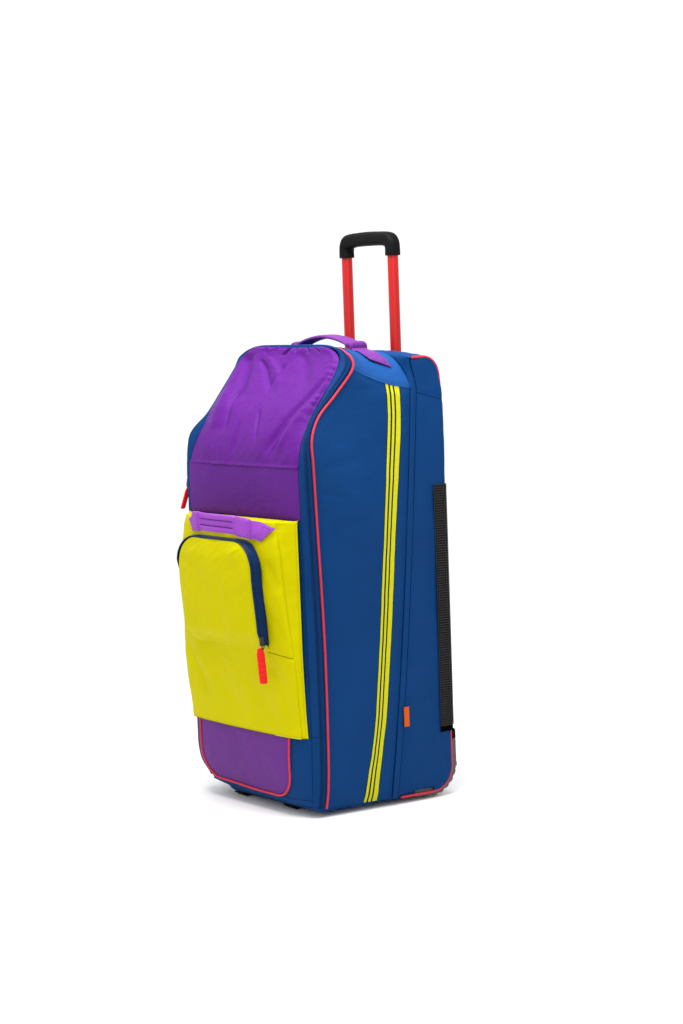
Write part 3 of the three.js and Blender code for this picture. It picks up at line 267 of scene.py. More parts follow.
def mesh_object(name, points, quads, uv=None, values=None, sharp=50):
    """A smooth shaded mesh of quads, with a UV map in metres and named values on its points."""
    points = drawn_up(points)
    mesh = bpy.data.meshes.new(name)
    quads = np.asarray(quads, np.int32)
    mesh.vertices.add(len(points))
    mesh.vertices.foreach_set("co", metres(points).astype(np.float32).ravel())
    mesh.loops.add(quads.size)
    mesh.loops.foreach_set("vertex_index", quads.ravel())
    mesh.polygons.add(len(quads))
    mesh.polygons.foreach_set("loop_start", np.arange(0, quads.size, 4, dtype=np.int32))
    mesh.update(calc_edges=True)
    mesh.validate()
    mesh.shade_smooth()
    mesh.set_sharp_from_angle(angle=math.radians(sharp))
    if uv is not None:
        layer = mesh.uv_layers.new(name="cloth")
        corner = np.zeros(len(mesh.loops), np.int32)
        mesh.loops.foreach_get("vertex_index", corner)
        layer.data.foreach_set("uv", (np.asarray(uv)[corner] / 1000).astype(np.float32).ravel())
    for key, value in (values or {}).items():
        held = mesh.attributes.new(key, "FLOAT", "POINT")
        held.data.foreach_set("value", np.asarray(value, np.float32).ravel())
    made = bpy.data.objects.new(name, mesh)
    bpy.context.scene.collection.objects.link(made)
    return made


def sheet_quads(rows, columns, start=0, around=False):
    """Quads of a grid of points stored row by row, closed round its columns if asked."""
    j, i = np.meshgrid(np.arange(rows - 1), np.arange(columns if around else columns - 1), indexing="ij")
    k = (i + 1) % columns
    corners = [j * columns + i, j * columns + k, (j + 1) * columns + k, (j + 1) * columns + i]
    return start + np.stack(corners, axis=-1).reshape(-1, 4)


def rim_distance(points, sides="lrbt"):
    """How far each point is from the nearest chosen rim along the grid's lines: left, right, bottom, top."""
    across, along = run_along(points, 1), run_along(points, 0)
    runs = {"l": across, "r": across[:, -1:] - across, "b": along, "t": along[-1:] - along}
    return np.minimum.reduce([runs[s] for s in sides])


def strip_quads(rings, sides, start):
    """Quads of rings of points, closed round each ring and from the last ring back to the first."""
    j, i = np.meshgrid(np.arange(rings), np.arange(sides), indexing="ij")
    m, k = (j + 1) % rings, (i + 1) % sides
    corners = [j * sides + i, m * sides + i, m * sides + k, j * sides + k]
    return start + np.stack(corners, axis=-1).reshape(-1, 4)


def wall(name, points, normal, thickness, values=None, keep=None, turned_in=0.0, stitched=0.0):
    """A closed wall: the grid is its outer face, the inner face lies one thickness inward, and quads close
    the rims. keep, one flag for each cell, leaves holes. turned_in adds the seam allowance, a narrow closed
    strip that goes straight in from the rim by that depth, and stitched sets a row of stitches that far from
    the rim."""
    rows, columns = points.shape[:2]
    count = rows * columns
    flip = np.sum(np.cross(np.gradient(points, axis=1), np.gradient(points, axis=0)) * normal) < 0
    index = np.arange(count).reshape(rows, columns)
    loop = np.concatenate([index[0, :-1], index[:-1, -1], index[-1, :0:-1], index[:0:-1, 0]])
    outer = sheet_quads(rows, columns)
    if keep is not None:
        outer = outer[keep.ravel()]
    rim = np.stack([np.roll(loop, -1), loop, loop + count, np.roll(loop, -1) + count], axis=1)
    quads = np.concatenate([outer, outer[:, ::-1] + count, rim])
    flat, out = points.reshape(-1, 3), normal.reshape(-1, 3)
    uv = np.stack([run_along(points, 1), run_along(points, 0)], axis=-1).reshape(-1, 2)
    lots = [flat, flat - out * thickness]
    uvs = [uv, uv]
    if turned_in:
        edge, push = flat[loop], out[loop]
        to_middle = flat.mean(0) - edge
        inward = unit(to_middle - push * np.sum(to_middle * push, axis=1, keepdims=True))
        rings = [(0.0, 0.3), (0.0, turned_in), (0.9, turned_in), (0.9, 0.3)]
        strip = np.stack([edge + inward * across - push * deep for across, deep in rings], axis=1)
        quads = np.concatenate([quads, strip_quads(len(loop), 4, 2 * count)])
        lots.append(strip.reshape(-1, 3))
        uvs.append(np.repeat(uv[loop], 4, axis=0))
    quads = quads[:, ::-1] if flip else quads
    values = dict(values or {})
    if stitched:
        values["stitch"] = ON_LINE + rim_distance(points) - stitched
    picked = {}
    for key, value in values.items():
        plain = np.ravel(value)
        extra = [np.repeat(plain[loop], 4)] if turned_in else []
        picked[key] = np.concatenate([plain, plain, *extra])
    return mesh_object(name, np.concatenate(lots), quads, np.concatenate(uvs), picked)


def tailored(points, inside=INSIDE, sink=2.4, reach=9, ripple=0.7, size=120, seed=1, sides="lrbt", extra=0):
    """A flat cut panel as sewn: it sinks towards its seams as a bell of the rim distance, and ripples softly.
    Gives the new points and their outward normals."""
    normal = outward(points, inside)
    a, b = run_along(points, 1), run_along(points, 0)
    edge = rim_distance(points, sides)
    lift = ripple * soft_noise(a, b, size, seed) * smooth(edge / 40) + extra
    lift = lift + 0.35 * ripple * soft_noise(a, b, size / 3.5, seed + 50) * smooth(edge / 25)
    moved = points + normal * (lift - sink * np.exp(-(edge / reach) ** 2))[..., None]
    return moved, outward(moved, inside)


class Value:
    """A shader socket. Operators on it add Math nodes, and node() adds any other kind."""

    def __init__(self, tree, output):
        self.tree = tree
        self.output = output

    def node(self, kind, settings=None, inputs=None, output=0):
        """A node of this kind: its settings first, then each input's value or link."""
        made = self.tree.nodes.new(kind)
        for key, value in (settings or {}).items():
            setattr(made, key, value)
        for key, value in (inputs or {}).items():
            if isinstance(value, Value):
                self.tree.links.new(value.output, made.inputs[key])
            else:
                made.inputs[key].default_value = value
        return Value(self.tree, made.outputs[output])

    def maths(self, operation, *others):
        """A Math node on this value and the others."""
        return self.node("ShaderNodeMath", {"operation": operation}, dict(enumerate((self, *others))))

    def __add__(self, other):
        return self.maths("ADD", other)

    def __sub__(self, other):
        return self.maths("SUBTRACT", other)

    def __rsub__(self, other):
        return (self * -1) + other

    def __mul__(self, other):
        return self.maths("MULTIPLY", other)

    def __gt__(self, other):
        return self.maths("GREATER_THAN", other)

    def __lt__(self, other):
        return self.maths("LESS_THAN", other)

    __radd__ = __add__
    __rmul__ = __mul__

    def sine(self):
        """Its sine, from -1 to 1."""
        return self.maths("SINE")

    def within(self, low, high):
        """1 between two values, 0 outside."""
        return (self > low) * (self < high)

    def blend(self, first, second):
        """A colour: the first where this value is 0, the second where it is 1."""
        pair = {6: self.colour(first), 7: self.colour(second), 0: self}
        return self.node("ShaderNodeMix", {"data_type": "RGBA"}, pair, output=2)

    def colour(self, value):
        """A link as it is, or three numbers as an opaque colour."""
        return value if isinstance(value, Value) else (*value, 1)


class Finish:
    """A material under way: its shader, its own coordinates and the bumps laid on it one after another."""

    def __init__(self, name, roughness=0.6, **fixed):
        self.material = bpy.data.materials.new(name)
        self.material.use_nodes = True
        self.tree = self.material.node_tree
        self.shader = self.tree.nodes["Principled BSDF"]
        self.start = Value(self.tree, None)
        self.shader.inputs["Roughness"].default_value = roughness
        for key, value in fixed.items():
            self.shader.inputs[key.replace("_", " ").title().replace("Ior", "IOR")].default_value = value

    def node(self, *arguments, **named):
        """A node in this material, as Value.node makes it."""
        return self.start.node(*arguments, **named)

    def uv(self):
        """The cloth's own two coordinates in metres."""
        place = self.node("ShaderNodeUVMap", {"uv_map": "cloth"})
        split = place.node("ShaderNodeSeparateXYZ", None, {0: place})
        return split, Value(self.tree, split.output.node.outputs[1])

    def place(self):
        """Object coordinates in metres."""
        return self.node("ShaderNodeTexCoord", output=3)

    def attribute(self, name):
        """A value held on the mesh's points."""
        return self.node("ShaderNodeAttribute", {"attribute_name": name}, output=2)

    def noise(self, scale, detail=3.0, stretch=(1, 1, 1)):
        """Noise from about 0 to 1 on Object coordinates."""
        spot = self.node("ShaderNodeMapping", None, {0: self.place(), 3: stretch})
        return spot.node("ShaderNodeTexNoise", None, {"Vector": spot, "Scale": scale, "Detail": detail})

    def feed(self, socket, value):
        """Links a value to one of the shader's sockets."""
        self.tree.links.new(value.output, self.shader.inputs[socket])

    def bump(self, height, distance, strength=1.0):
        """Lays a height on what is there already."""
        inputs = {"Height": height, "Distance": distance, "Strength": strength}
        before = self.shader.inputs["Normal"].links
        if before:
            inputs["Normal"] = Value(self.tree, before[0].from_socket)
        self.feed("Normal", self.start.node("ShaderNodeBump", None, inputs))


def weave_height(finish, pitch):
    """A plain weave from 0 to 1: the product of two sines along the cloth's threads."""
    u, v = finish.uv()
    return (u * (2 * math.pi / pitch)).sine() * (v * (2 * math.pi / pitch)).sine() * 0.5 + 0.5


def woven(name, colour, roughness=0.62, pitch=THREAD_PITCH, depth=0.00025, mottle=0.14, gloss=0.06):
    """Coated woven cloth: a colour that wanders a little, painted darker between the threads as painted shade
    in the weave's hollows, and a weave in relief.
    Its points carry ON_LINE plus their distance in millimetres from a seam, drawn as a dark line of painted
    shade in the seam's groove, and from a row of stitches, drawn as short dashes."""
    finish = Finish(name, roughness, specular_ior_level=gloss)
    threads = weave_height(finish, pitch)
    wander = finish.noise(9, 4)
    deep = [c * (1 - mottle) for c in colour]
    light = [min(1, c * (1 + mottle)) for c in colour]
    # Painted shade: the colour darkens by up to 6% in the hollows between the threads.
    base = (threads * 0.06 + 0.94).blend((0, 0, 0), wander.blend(deep, light))
    u, v = finish.uv()
    dashes = ((u + v) * (2 * math.pi / STITCH)).sine() > -0.4
    stitches = finish.attribute("stitch").within(ON_LINE - 0.4, ON_LINE + 0.4) * dashes
    seam = finish.attribute("seam").within(ON_LINE - 0.7, ON_LINE + 0.7)
    base = stitches.blend(base, [c * 0.6 for c in colour])
    # Painted shade: a seam's line is painted at 0.3 of the cloth's colour, for the shade in its groove.
    base = seam.blend(base, [c * 0.3 for c in colour])
    finish.base = base
    finish.feed("Base Color", base)
    finish.feed("Roughness", finish.noise(40, 2) * 0.16 + (roughness - 0.08))
    finish.bump(finish.noise(160, 3), 0.0006, 0.35)
    finish.bump(finish.noise(22, 6, (1, 1, 1.7)), 0.004, 0.5)
    finish.bump(threads, depth, 0.6)
    finish.bump(stitches - seam, 0.0004, 0.6)
    return finish


def dress(piece, finish, slot, *nodes, body=BODY):
    """Gives a piece its finish and its place in the frame."""
    piece.data.materials.append(finish.material)
    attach(piece, body)
    if nodes:
        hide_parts(*nodes)
    return piece


def panel(name, flat, finish, slot, node, thickness=WALL, values=None, turned_in=0.0, stitched=0.0, **sewing):
    """A sewn panel from its flat cut: tailored with these measures, made a closed wall, and dressed."""
    points, normal = tailored(flat, **sewing)
    piece = wall(name, points, normal, thickness, values, turned_in=turned_in, stitched=stitched)
    dress(piece, finish, slot, node)


blue_cloth = woven("blue_cloth", BLUE)

# The front edge, which the panels of the front half are cut to: rows up the strip round the front, with its
# inner and outer edge, the way from it across the piping, and the depth of its turn
FRAME_COLUMNS = ("inner_x", "inner_y", "inner_z", "outer_x", "outer_y", "outer_z",
                 "inset_x", "inset_y", "inset_z", "turn")
FRAME_ROWS = np.array([
    [186, -161, 17, 200, -142, 17, 0, 1, 0, 19],
    [192, -164, 60, 203, -138, 60, 0, 1, 0, 26],
    [195, -165, 150, 204, -136, 150, 0, 1, 0, 29],
    [190, -165, 330, 204, -136, 330, 0, 1, 0, 29],
    [187, -165, 550, 205, -144, 550, 0, 1, 0, 21],
    [185, -164, 645, 205, -147, 645, 0, 1, 0, 17],
    [179, -150, 694, 199, -144, 698, 0, 1, -0.1, 11],
    [171, -122, 737, 190, -120, 739, 0, 0.85, -0.5, 8],
    [170, -91, 777, 189, -81, 777, 0, 0.76, -0.65, 8],
    [170, -62, 817, 191, -42, 821, -0.1, 0.9, -0.42, 9],
    [160, -46, 847, 180, -38, 845, -0.3, 0.95, -0.1, 7],
    [118, -41, 865, 136, -30, 861, 0, 1, 0, 7],
    [50, -40, 867, 58, -27, 865, 0, 1, 0, 7],
])
LEFT_FOOT_ROWS = np.array([
    [156, -160, 19, 170, -142, 19, 0, 1, 0, 18],
    [188, -164, 58, 199, -138, 56, 0, 1, 0, 26],
])
LEFT_SHOULDER = slice(6, 8)
LEFT_SHOULDER_ROWS = np.array([
    [179, -150, 694, 203, -146, 698, 0, 1, -0.1, 11],
    [171, -122, 737, 187, -114, 739, 0, 0.85, -0.5, 8],
])
FRAME_LAST = 2 * len(FRAME_ROWS) - 1
INNER = slice(0, 3)
OUTER = slice(3, 6)
INSET = slice(6, 9)
TURN = FRAME_COLUMNS.index("turn")


def frame_loop():
    """The front frame's rows from the right foot over the top to the left foot, whose corner has settled
    rounder. The left shoulder has slumped outwards."""
    left = FRAME_ROWS.copy()
    left[LEFT_SHOULDER] = LEFT_SHOULDER_ROWS
    left[:len(LEFT_FOOT_ROWS)] = LEFT_FOOT_ROWS
    left[:, [FRAME_COLUMNS.index(c) for c in ("inner_x", "outer_x", "inset_x")]] *= -1
    return np.concatenate([FRAME_ROWS, left[::-1]])


FRAME_LOOP = frame_loop()


def inner_edge(t):
    """The frame's inner edge, at a share of the way round."""
    return through(FRAME_LOOP[:, INNER], t)


def past_outer_edge(t, distance):
    """The point a distance from the frame's outer edge, across the piping."""
    across = unit(through(FRAME_LOOP[:, INSET], t))
    return through(FRAME_LOOP[:, OUTER], t) + across * np.asarray(distance)[..., None]


# The side panels, from the front piping back to the main zip, printed with three stripes beside the zip
SIDE_FRONT_ROWS = 9.05
ZIP_FOOT_Y = 11
ZIP_HEAD_Y = 86
ZIP_TOP_Y = 70
ZIP_WIDTH = 14
SEAM_DIP = 6
REAR_EDGE_Y = 150.5


def side_front_edge(v, side):
    """The front edge of a side panel, behind the piping's slot."""
    t = v * SIDE_FRONT_ROWS / FRAME_LAST
    p = past_outer_edge(t if side > 0 else 1 - t, np.full(np.shape(v), PIPING_SLOT - 1.5))
    return np.abs(p[..., 0]), p[..., 1], p[..., 2]


def zip_front_y(z):
    """Depth of the main zip's front edge at a height: a straight slant."""
    return lerp(ZIP_FOOT_Y, ZIP_HEAD_Y, (z - SIDE_BOTTOM) / (SIDE_SEAM_REAR - SIDE_BOTTOM))


def side_bulge(y, z):
    """How far a side swells: the product of two half sines, over the height and over the depth."""
    up = np.clip((z - SIDE_BOTTOM) / (SIDE_SEAM_REAR - SIDE_BOTTOM), 0, 1)
    back = np.clip((y + 130) / (REAR_EDGE_Y + 130), 0, 1)
    return SIDE_BULGE * np.sin(math.pi * up).clip(0) ** 0.7 * np.sin(math.pi * back).clip(0) ** 0.7


def side_face(u, v, side):
    """From the piping back to the zip, and from the foot up to the top seam, swollen in the middle."""
    front_x, front_y, front_z = side_front_edge(v, side)
    z = lerp(front_z, lerp(SIDE_BOTTOM, SIDE_SEAM_REAR, v), u) - SEAM_DIP * 4 * u * (1 - u) * v ** 6
    y = lerp(front_y, zip_front_y(z), u)
    x = lerp(front_x, HALF_WIDTH, u) + side_bulge(y, z) * (1 - (1 - np.minimum(1, u * 2.5)) ** 2)
    return xyz(side * x, y, z)


# How far ahead of the main zip the bundle of stripes starts and ends, by height
STRIPE_ROWS = [
    {"z": 0, "fore": 65, "aft": 34},
    {"z": 68, "fore": 60.5, "aft": 33.5},
    {"z": 109, "fore": 56, "aft": 31.5},
    {"z": 171, "fore": 52.5, "aft": 28},
    {"z": 340, "fore": 54, "aft": 28.5},
    {"z": 511, "fore": 54.5, "aft": 28},
    {"z": 619, "fore": 52.5, "aft": 24.5},
    {"z": 720, "fore": 49, "aft": 21},
    {"z": 800, "fore": 54, "aft": 25},
]
STRIPES = [(0.0, 0.2), (0.33, 0.52), (0.64, 1.0)]  # each stripe's share of the bundle, front to rear
SIDE_FOLDS = [
    {"start": (-128, 640), "end": (-40, 655), "width": 9, "depth": 1.6},
    {"start": (-126, 600), "end": (-70, 585), "width": 8, "depth": 1.2},
    {"start": (-118, 520), "end": (-45, 545), "width": 10, "depth": 1.2},
    {"start": (-60, 800), "end": (-75, 700), "width": 10, "depth": 1.4},
    {"start": (60, 775), "end": (66, 700), "width": 5, "depth": 1.3},
    {"start": (-20, 20), "end": (5, 150), "width": 9, "depth": 1.4},
    {"start": (-120, 60), "end": (-70, 200), "width": 14, "depth": 1.3},
]
STRIPE_YELLOW = (0.47, 0.46, 0.008)
WORN_YELLOW = (0.33, 0.32, 0.004)
PRINT_DARK = (0.004, 0.008, 0.016)
striped_cloth = woven("striped_blue_cloth", BLUE)
share = striped_cloth.attribute("stripe")
ink = sum(share.within(low, high) for low, high in STRIPES[1:]) + share.within(*STRIPES[0])
worn = striped_cloth.noise(70, 4) * 0.12 + 0.94
print_yellow = worn.blend(WORN_YELLOW, STRIPE_YELLOW)
under_print = share.within(-0.06, 1.05).blend(striped_cloth.base, PRINT_DARK)
striped_cloth.feed("Base Color", ink.blend(under_print, print_yellow))
striped_cloth.bump(ink, 0.0002, 0.5)

u, v = grid(56, 150)
for hand, side in (("right", 1), ("left", -1)):
    flat = side_face(u, v, side)
    y, z = flat[..., 1], flat[..., 2]
    fore = zip_front_y(z) - read_rows(STRIPE_ROWS, "fore", z)
    aft = zip_front_y(z) - read_rows(STRIPE_ROWS, "aft", z)
    values = {"stripe": (y - fore) / (aft - fore)}
    panel(f"side_cloth_{hand}", flat, striped_cloth, "blue_cloth", f"side_panel_{hand}", values=values,
          turned_in=SEAM_ALLOWANCE, sink=2.6, reach=10, ripple=0.9, size=170, seed=3 + side,
          extra=-all_folds(y, z, SIDE_FOLDS))

# The top panel, from the front piping back to the main zip, falling over both shoulders to the side seams
TOP_FRONT_Y = -20
TOP_FRONT = 862
TOP_REAR = 851
REAR_TOP = 846
seam_front = [float(c) for c in side_front_edge(np.array(1.0), 1)]


def top_z(part, v):
    """Height of the top at a share across and a share back: it falls from its crest to the side seam by a
    power of the share across, lowest in the middle, where the cloth is slack between its stiff front and rear
    edges."""
    seam = lerp(seam_front[2], SIDE_SEAM_REAR, v) - SEAM_DIP * 4 * v * (1 - v) + GAP
    crest = lerp(TOP_FRONT, TOP_REAR, v)
    power = 4 + 9 * (1 - v) ** 8 + 2.5 * v ** 4
    return seam + (crest - seam) * (1 - np.abs(part) ** power)


def top_face(u, v):
    """From the right side seam over the crest to the left one, and from the front piping back to the zip."""
    angle = math.pi * (u - 0.5)
    part = np.sign(angle) * np.abs(np.sin(angle)) ** (2 / 3)
    front_y = lerp(TOP_FRONT_Y, seam_front[1], np.abs(part) ** 8)
    rear_y = lerp(ZIP_TOP_Y, ZIP_HEAD_Y, np.abs(part) ** 3)
    return xyz(lerp(seam_front[0], HALF_WIDTH, v) * part, lerp(front_y, rear_y, v), top_z(part, v))


u, v = grid(90, 34, rim=0.2)
# The top panel's cloth is painted half again lighter than the walls' blue, as painted light from the lamps
# above; it is the same cloth.
top_cloth = woven("top_blue_cloth_painted_light", [c * 1.5 for c in BLUE], gloss=0.12)
panel("top_cloth", top_face(u, v), top_cloth, "blue_cloth", "top_panel", turned_in=SEAM_ALLOWANCE,
      sink=2.0, reach=7, ripple=1.1, size=110, seed=8, sides="lrb")

# The rear half: two sides that turn round the rear corners, the back, and the rear top, which has a hole for
# each pull tube
TOP_BACK_RADIUS = 45
BOTTOM_BACK_RADIUS = 50
REAR_CORNER = 14
TIGHT_CORNER = 6
REAR_SIDE_BOTTOM = 17.5
REAR_SIDE_TOP = 832
REAR_SIDE_REACH = (0.045, 0.97)  # shares of the rear outline where a rear side starts and ends
PIPING_INSET = 5.6


def rear_outline(share, inset):
    """The rear half's outline in depth and height, at a share of its length: under the foot, round the bottom
    corner, up the back, round the top corner and forward over the top."""
    low_radius = BOTTOM_BACK_RADIUS - inset
    high_radius = TOP_BACK_RADIUS - inset
    foot_y = BACK_Y - BOTTOM_BACK_RADIUS
    head_y = BACK_Y - TOP_BACK_RADIUS
    low_z = BODY_BOTTOM + BOTTOM_BACK_RADIUS
    high_z = REAR_TOP - TOP_BACK_RADIUS
    turn = math.pi / 2
    parts = [40, turn * low_radius, high_z - low_z, turn * high_radius, head_y - ZIP_TOP_Y - ZIP_WIDTH]
    run = share * sum(parts)
    under = np.clip(run, 0, parts[0])
    low = np.clip(run - parts[0], 0, parts[1]) / low_radius
    up = np.clip(run - parts[0] - parts[1], 0, parts[2])
    high = np.clip(run - sum(parts[:3]), 0, parts[3]) / high_radius
    over = np.clip(run - sum(parts[:4]), 0, parts[4])
    y = foot_y - parts[0] + under + low_radius * np.sin(low) - high_radius * (1 - np.cos(high)) - over
    z = BODY_BOTTOM + inset + low_radius * (1 - np.cos(low)) + up + high_radius * np.sin(high)
    return y, z


def wrap_at(z):
    """How far the rear piping has gone round onto the back: it stays at the side's edge in the corners."""
    return smooth((z - 200) / 180) * smooth((800 - z) / 60)


def seam_drop(share):
    """How far inside the outline the rear seam lies: deeper round the top corner, deepest at its front."""
    return 3 * smooth((share - 0.87) / 0.05) + 3 * smooth((share - 0.92) / 0.06)


def corner_at(z):
    """Depth of the rear corner's turn: round behind the net and tight above it."""
    return lerp(REAR_CORNER, TIGHT_CORNER, smooth((z - 560) / 40))


def rear_side_face(u, v):
    """From the zip back to the rear outline, then round the rear corner."""
    turn_share = 0.7
    front_z = lerp(REAR_SIDE_BOTTOM, REAR_SIDE_TOP, v)
    lean = (ZIP_HEAD_Y - ZIP_TOP_Y) / (REAR_TOP - SIDE_SEAM_REAR)
    lean_back = np.maximum(0, front_z - SIDE_SEAM_REAR) * lean
    front_y = np.minimum(zip_front_y(front_z), ZIP_HEAD_Y) + ZIP_WIDTH - lean_back + 1.6
    share = lerp(*REAR_SIDE_REACH, v)
    height = rear_outline(share, 0)[1]
    wrap, corner = wrap_at(height), corner_at(height)
    turn = math.pi / 2 * np.clip((u - turn_share) / (1 - turn_share), 0, 1)
    end_inset = lerp(PIPING_INSET + seam_drop(share), 0, wrap)
    back_y, back_z = rear_outline(share, lerp(np.maximum(corner, end_inset + 1), end_inset, np.sin(turn)))
    across = np.minimum(1, u / turn_share)
    y = lerp(front_y, back_y, across)
    z = lerp(front_z, back_z, across)
    return xyz(HALF_WIDTH + side_bulge(y, z) - corner * wrap * (1 - np.cos(turn)), y, z)


CROSS_SEAM_Z = (776.5, 752)  # at the zip and at the rear corner
u, v = grid(44, 150)
for hand, side in (("right", 1), ("left", -1)):
    flat = rear_side_face(u, v) * [side, 1, 1]
    y, z = flat[..., 1], flat[..., 2]
    past_seam = z - lerp(*CROSS_SEAM_Z, (y - 80) / 85)
    full = 2.6 * smooth((u - 0.3) / 0.3) * smooth((z - 575) / 25) * smooth((815 - z) / 50)
    points, normal = tailored(flat, sink=2.0, reach=8, ripple=0.8, size=150, seed=12 + side, sides="lbt",
                              extra=full - 0.9 * np.exp(-(past_seam / 4) ** 2))
    normal = np.where(side * normal[..., :1] < -0.3, -normal, normal)
    # The cross seam's line is painted shade.
    values = {"seam": ON_LINE + past_seam}
    piece = wall(f"rear_side_cloth_{hand}", points, normal, WALL, values, turned_in=SEAM_ALLOWANCE)
    dress(piece, blue_cloth, "blue_cloth", f"rear_side_{hand}")

BACK_EDGE_X = 195
BACK_SWELL = 7
BACK_END = 0.885  # shares of the rear outline
BACK_LAP = 0.0015
REAR_TOP_END = 0.995
GUARD_INNER_X = 142
GUARD_HEAD = 129
TUBE_X = 75
TUBE_Y = 150
TUBE_RADIUS = 10.5


def rear_band(u, v, start, end):
    """A band across the rear outline, swollen in the middle, narrower where the piping lies on the back, and
    domed on top."""
    along = lerp(start, end, v)
    share = 2 * u - 1
    topward = smooth((rear_outline(along, 0)[1] - 790) / 40)
    y, z = rear_outline(along, lerp(-4 * topward, 2 * topward + seam_drop(along), np.abs(share) ** 3))
    edge_x = BACK_EDGE_X - (corner_at(z) + 2.5) * wrap_at(z)
    edge_x = lerp(GUARD_INNER_X - GAP, edge_x, smooth((z - GUARD_HEAD + 14) / 12))
    swell = BACK_SWELL * (1 - share ** 4) - 3 * share ** 8
    return xyz(share * edge_x, y + swell * np.clip((y - 110) / 40, 0, 1), z)


u, v = grid(60, 130, rim=0.1)
points, normal = tailored(rear_band(u, v, 0, BACK_END), sink=2.2, ripple=1.0, size=160, seed=21)
sleeve = 1.2 * (np.exp(-((np.abs(points[..., 0]) - TUBE_X) / 16) ** 2)) * smooth((points[..., 2] - 330) / 60)
points = points + normal * sleeve[..., None]
piece = wall("back_cloth", points, normal, WALL, turned_in=SEAM_ALLOWANCE)
dress(piece, blue_cloth, "blue_cloth", "back_panel")

u, v = grid(150, 44, rim=0.1)
flat = rear_band(u, v, BACK_END - BACK_LAP, REAR_TOP_END)
points, normal = tailored(flat, sink=1.8, reach=7, ripple=0.8, size=90, seed=25)
middle = (points[1:, 1:] + points[:-1, :-1]) / 2
from_tube = np.hypot(np.abs(middle[..., 0]) - TUBE_X, middle[..., 1] - TUBE_Y)
rear_top = wall("rear_top_cloth", points, normal, WALL, keep=from_tube > TUBE_RADIUS + 1.8, turned_in=8)
dress(rear_top, blue_cloth, "blue_cloth", "rear_top_panel")


# The bottom, from the front frame back to the turned-up foot of the rear half
BOTTOM_FRONT_Y = -160
BOTTOM_LEFT_X = -197
BOTTOM_RIGHT_X = 196
BOTTOM_DRAWN_IN = 32
BOTTOM_CORNER_IN = 14


def foot_face(u, v):
    """The bottom: flat, lifted a little at the front, with its left front corner drawn in."""
    y = lerp(BOTTOM_FRONT_Y, BACK_Y - BOTTOM_BACK_RADIUS - 42, v)
    lift = 4 * np.clip((-140 - y) / 20, 0, 1) ** 2
    left = BOTTOM_LEFT_X + BOTTOM_DRAWN_IN * np.clip((ZIP_FOOT_Y - y) / 145, 0, 1)
    left = left + BOTTOM_CORNER_IN * np.clip((-142 - y) / 18, 0, 1) ** 2
    return xyz(lerp(left, BOTTOM_RIGHT_X, u), y, BODY_BOTTOM + lift)


u, v = grid(50, 34)
panel("bottom_cloth", foot_face(u, v), blue_cloth, "blue_cloth", "bottom_panel", turned_in=12,
      sink=1.4, reach=8, ripple=0.25, size=130, seed=31)

# The lower front, behind the pocket, with a seam along its foot
FRONT_SWELL = [
    {"z": 16, "swell": 12}, {"z": 80, "swell": 23}, {"z": 150, "swell": 20}, {"z": 300, "swell": 10},
    {"z": 545, "swell": 4}, {"z": 645, "swell": 4}, {"z": 760, "swell": 10}, {"z": 862, "swell": 2},
]
FRONT_SWELL_POWER = 6
FRAME_SEAM_ROW = 5
FRAME_TOP_ROW = 11
POCKET_TOP_FRAME_ROW = 4
FRONT_HEM_Z = 29


def front_face(u, v, from_row, to_row, inset=GAP):
    """A front panel between two rows of the frame: it swells forward between the frame's two inner edges, by
    a share that falls off late towards them."""
    t = lerp(from_row, to_row, v) / FRAME_LAST
    right, left = inner_edge(t), inner_edge(1 - t)
    edge = lerp(left, right, u[..., None])
    topward = np.clip((edge[..., 2] - 820) / 30, 0, 1)
    share = 2 * u - 1
    inset = lerp(inset, 1.6, topward)
    x = lerp(left[..., 0] + inset, right[..., 0] - inset, u)
    z = edge[..., 2] - 3.5 * topward
    swell = read_rows(FRONT_SWELL, "swell", z) * (1 - np.abs(share) ** FRONT_SWELL_POWER)
    return xyz(x, edge[..., 1] - topward - swell, z)


u, v = grid(60, 60)
flat = front_face(u, v, 0, POCKET_TOP_FRAME_ROW - 0.01, inset=-1.0)
# The hem along its foot is drawn as a line of painted shade.
panel("lower_front_cloth", flat, blue_cloth, "blue_cloth", "front_panel_lower", turned_in=FRONT_ALLOWANCE,
      values={"seam": ON_LINE + flat[..., 2] - FRONT_HEM_Z}, sink=2.0, reach=8, ripple=0.5, seed=34)

# The front frame
# A strip of the same blue cloth that turns round the front edge of the bag. A concealed coil zip runs along
# it, so the front opens like a lid; its two tapes meet in a narrow groove. A cross seam joins its foot to the
# rest.
ZIP_SHARE = 0.68
FOOT_SEAM_Z = 152
COIL_PITCH = 0.0019
# The strip's blue is painted 8% darker than the walls' as painted shade; the zip tape's darker navy is its
# own colour.
frame_cloth_painted_shade = woven("frame_cloth_painted_shade", [c * 0.92 for c in BLUE])
tape = frame_cloth_painted_shade.attribute("tape")
along_tape = frame_cloth_painted_shade.uv()[1]
ribs = (along_tape * (2 * math.pi / COIL_PITCH)).sine() * 0.5 + 0.5
frame_cloth_painted_shade.feed("Base Color", tape.blend(frame_cloth_painted_shade.base, [c * 0.62 for c in BLUE]))
frame_cloth_painted_shade.bump(ribs * tape, 0.0005, 0.7)


def frame_face(u, v):
    """The strip's section is a curve with one control point, set back from its outer edge by its turn."""
    corner = past_outer_edge(v, -through(FRAME_LOOP[:, TURN], v))
    a, b, c = ((1 - u) ** 2, 2 * u * (1 - u), u * u)
    outer = through(FRAME_LOOP[:, OUTER], v)
    return inner_edge(v) * a[..., None] + corner * b[..., None] + outer * c[..., None]


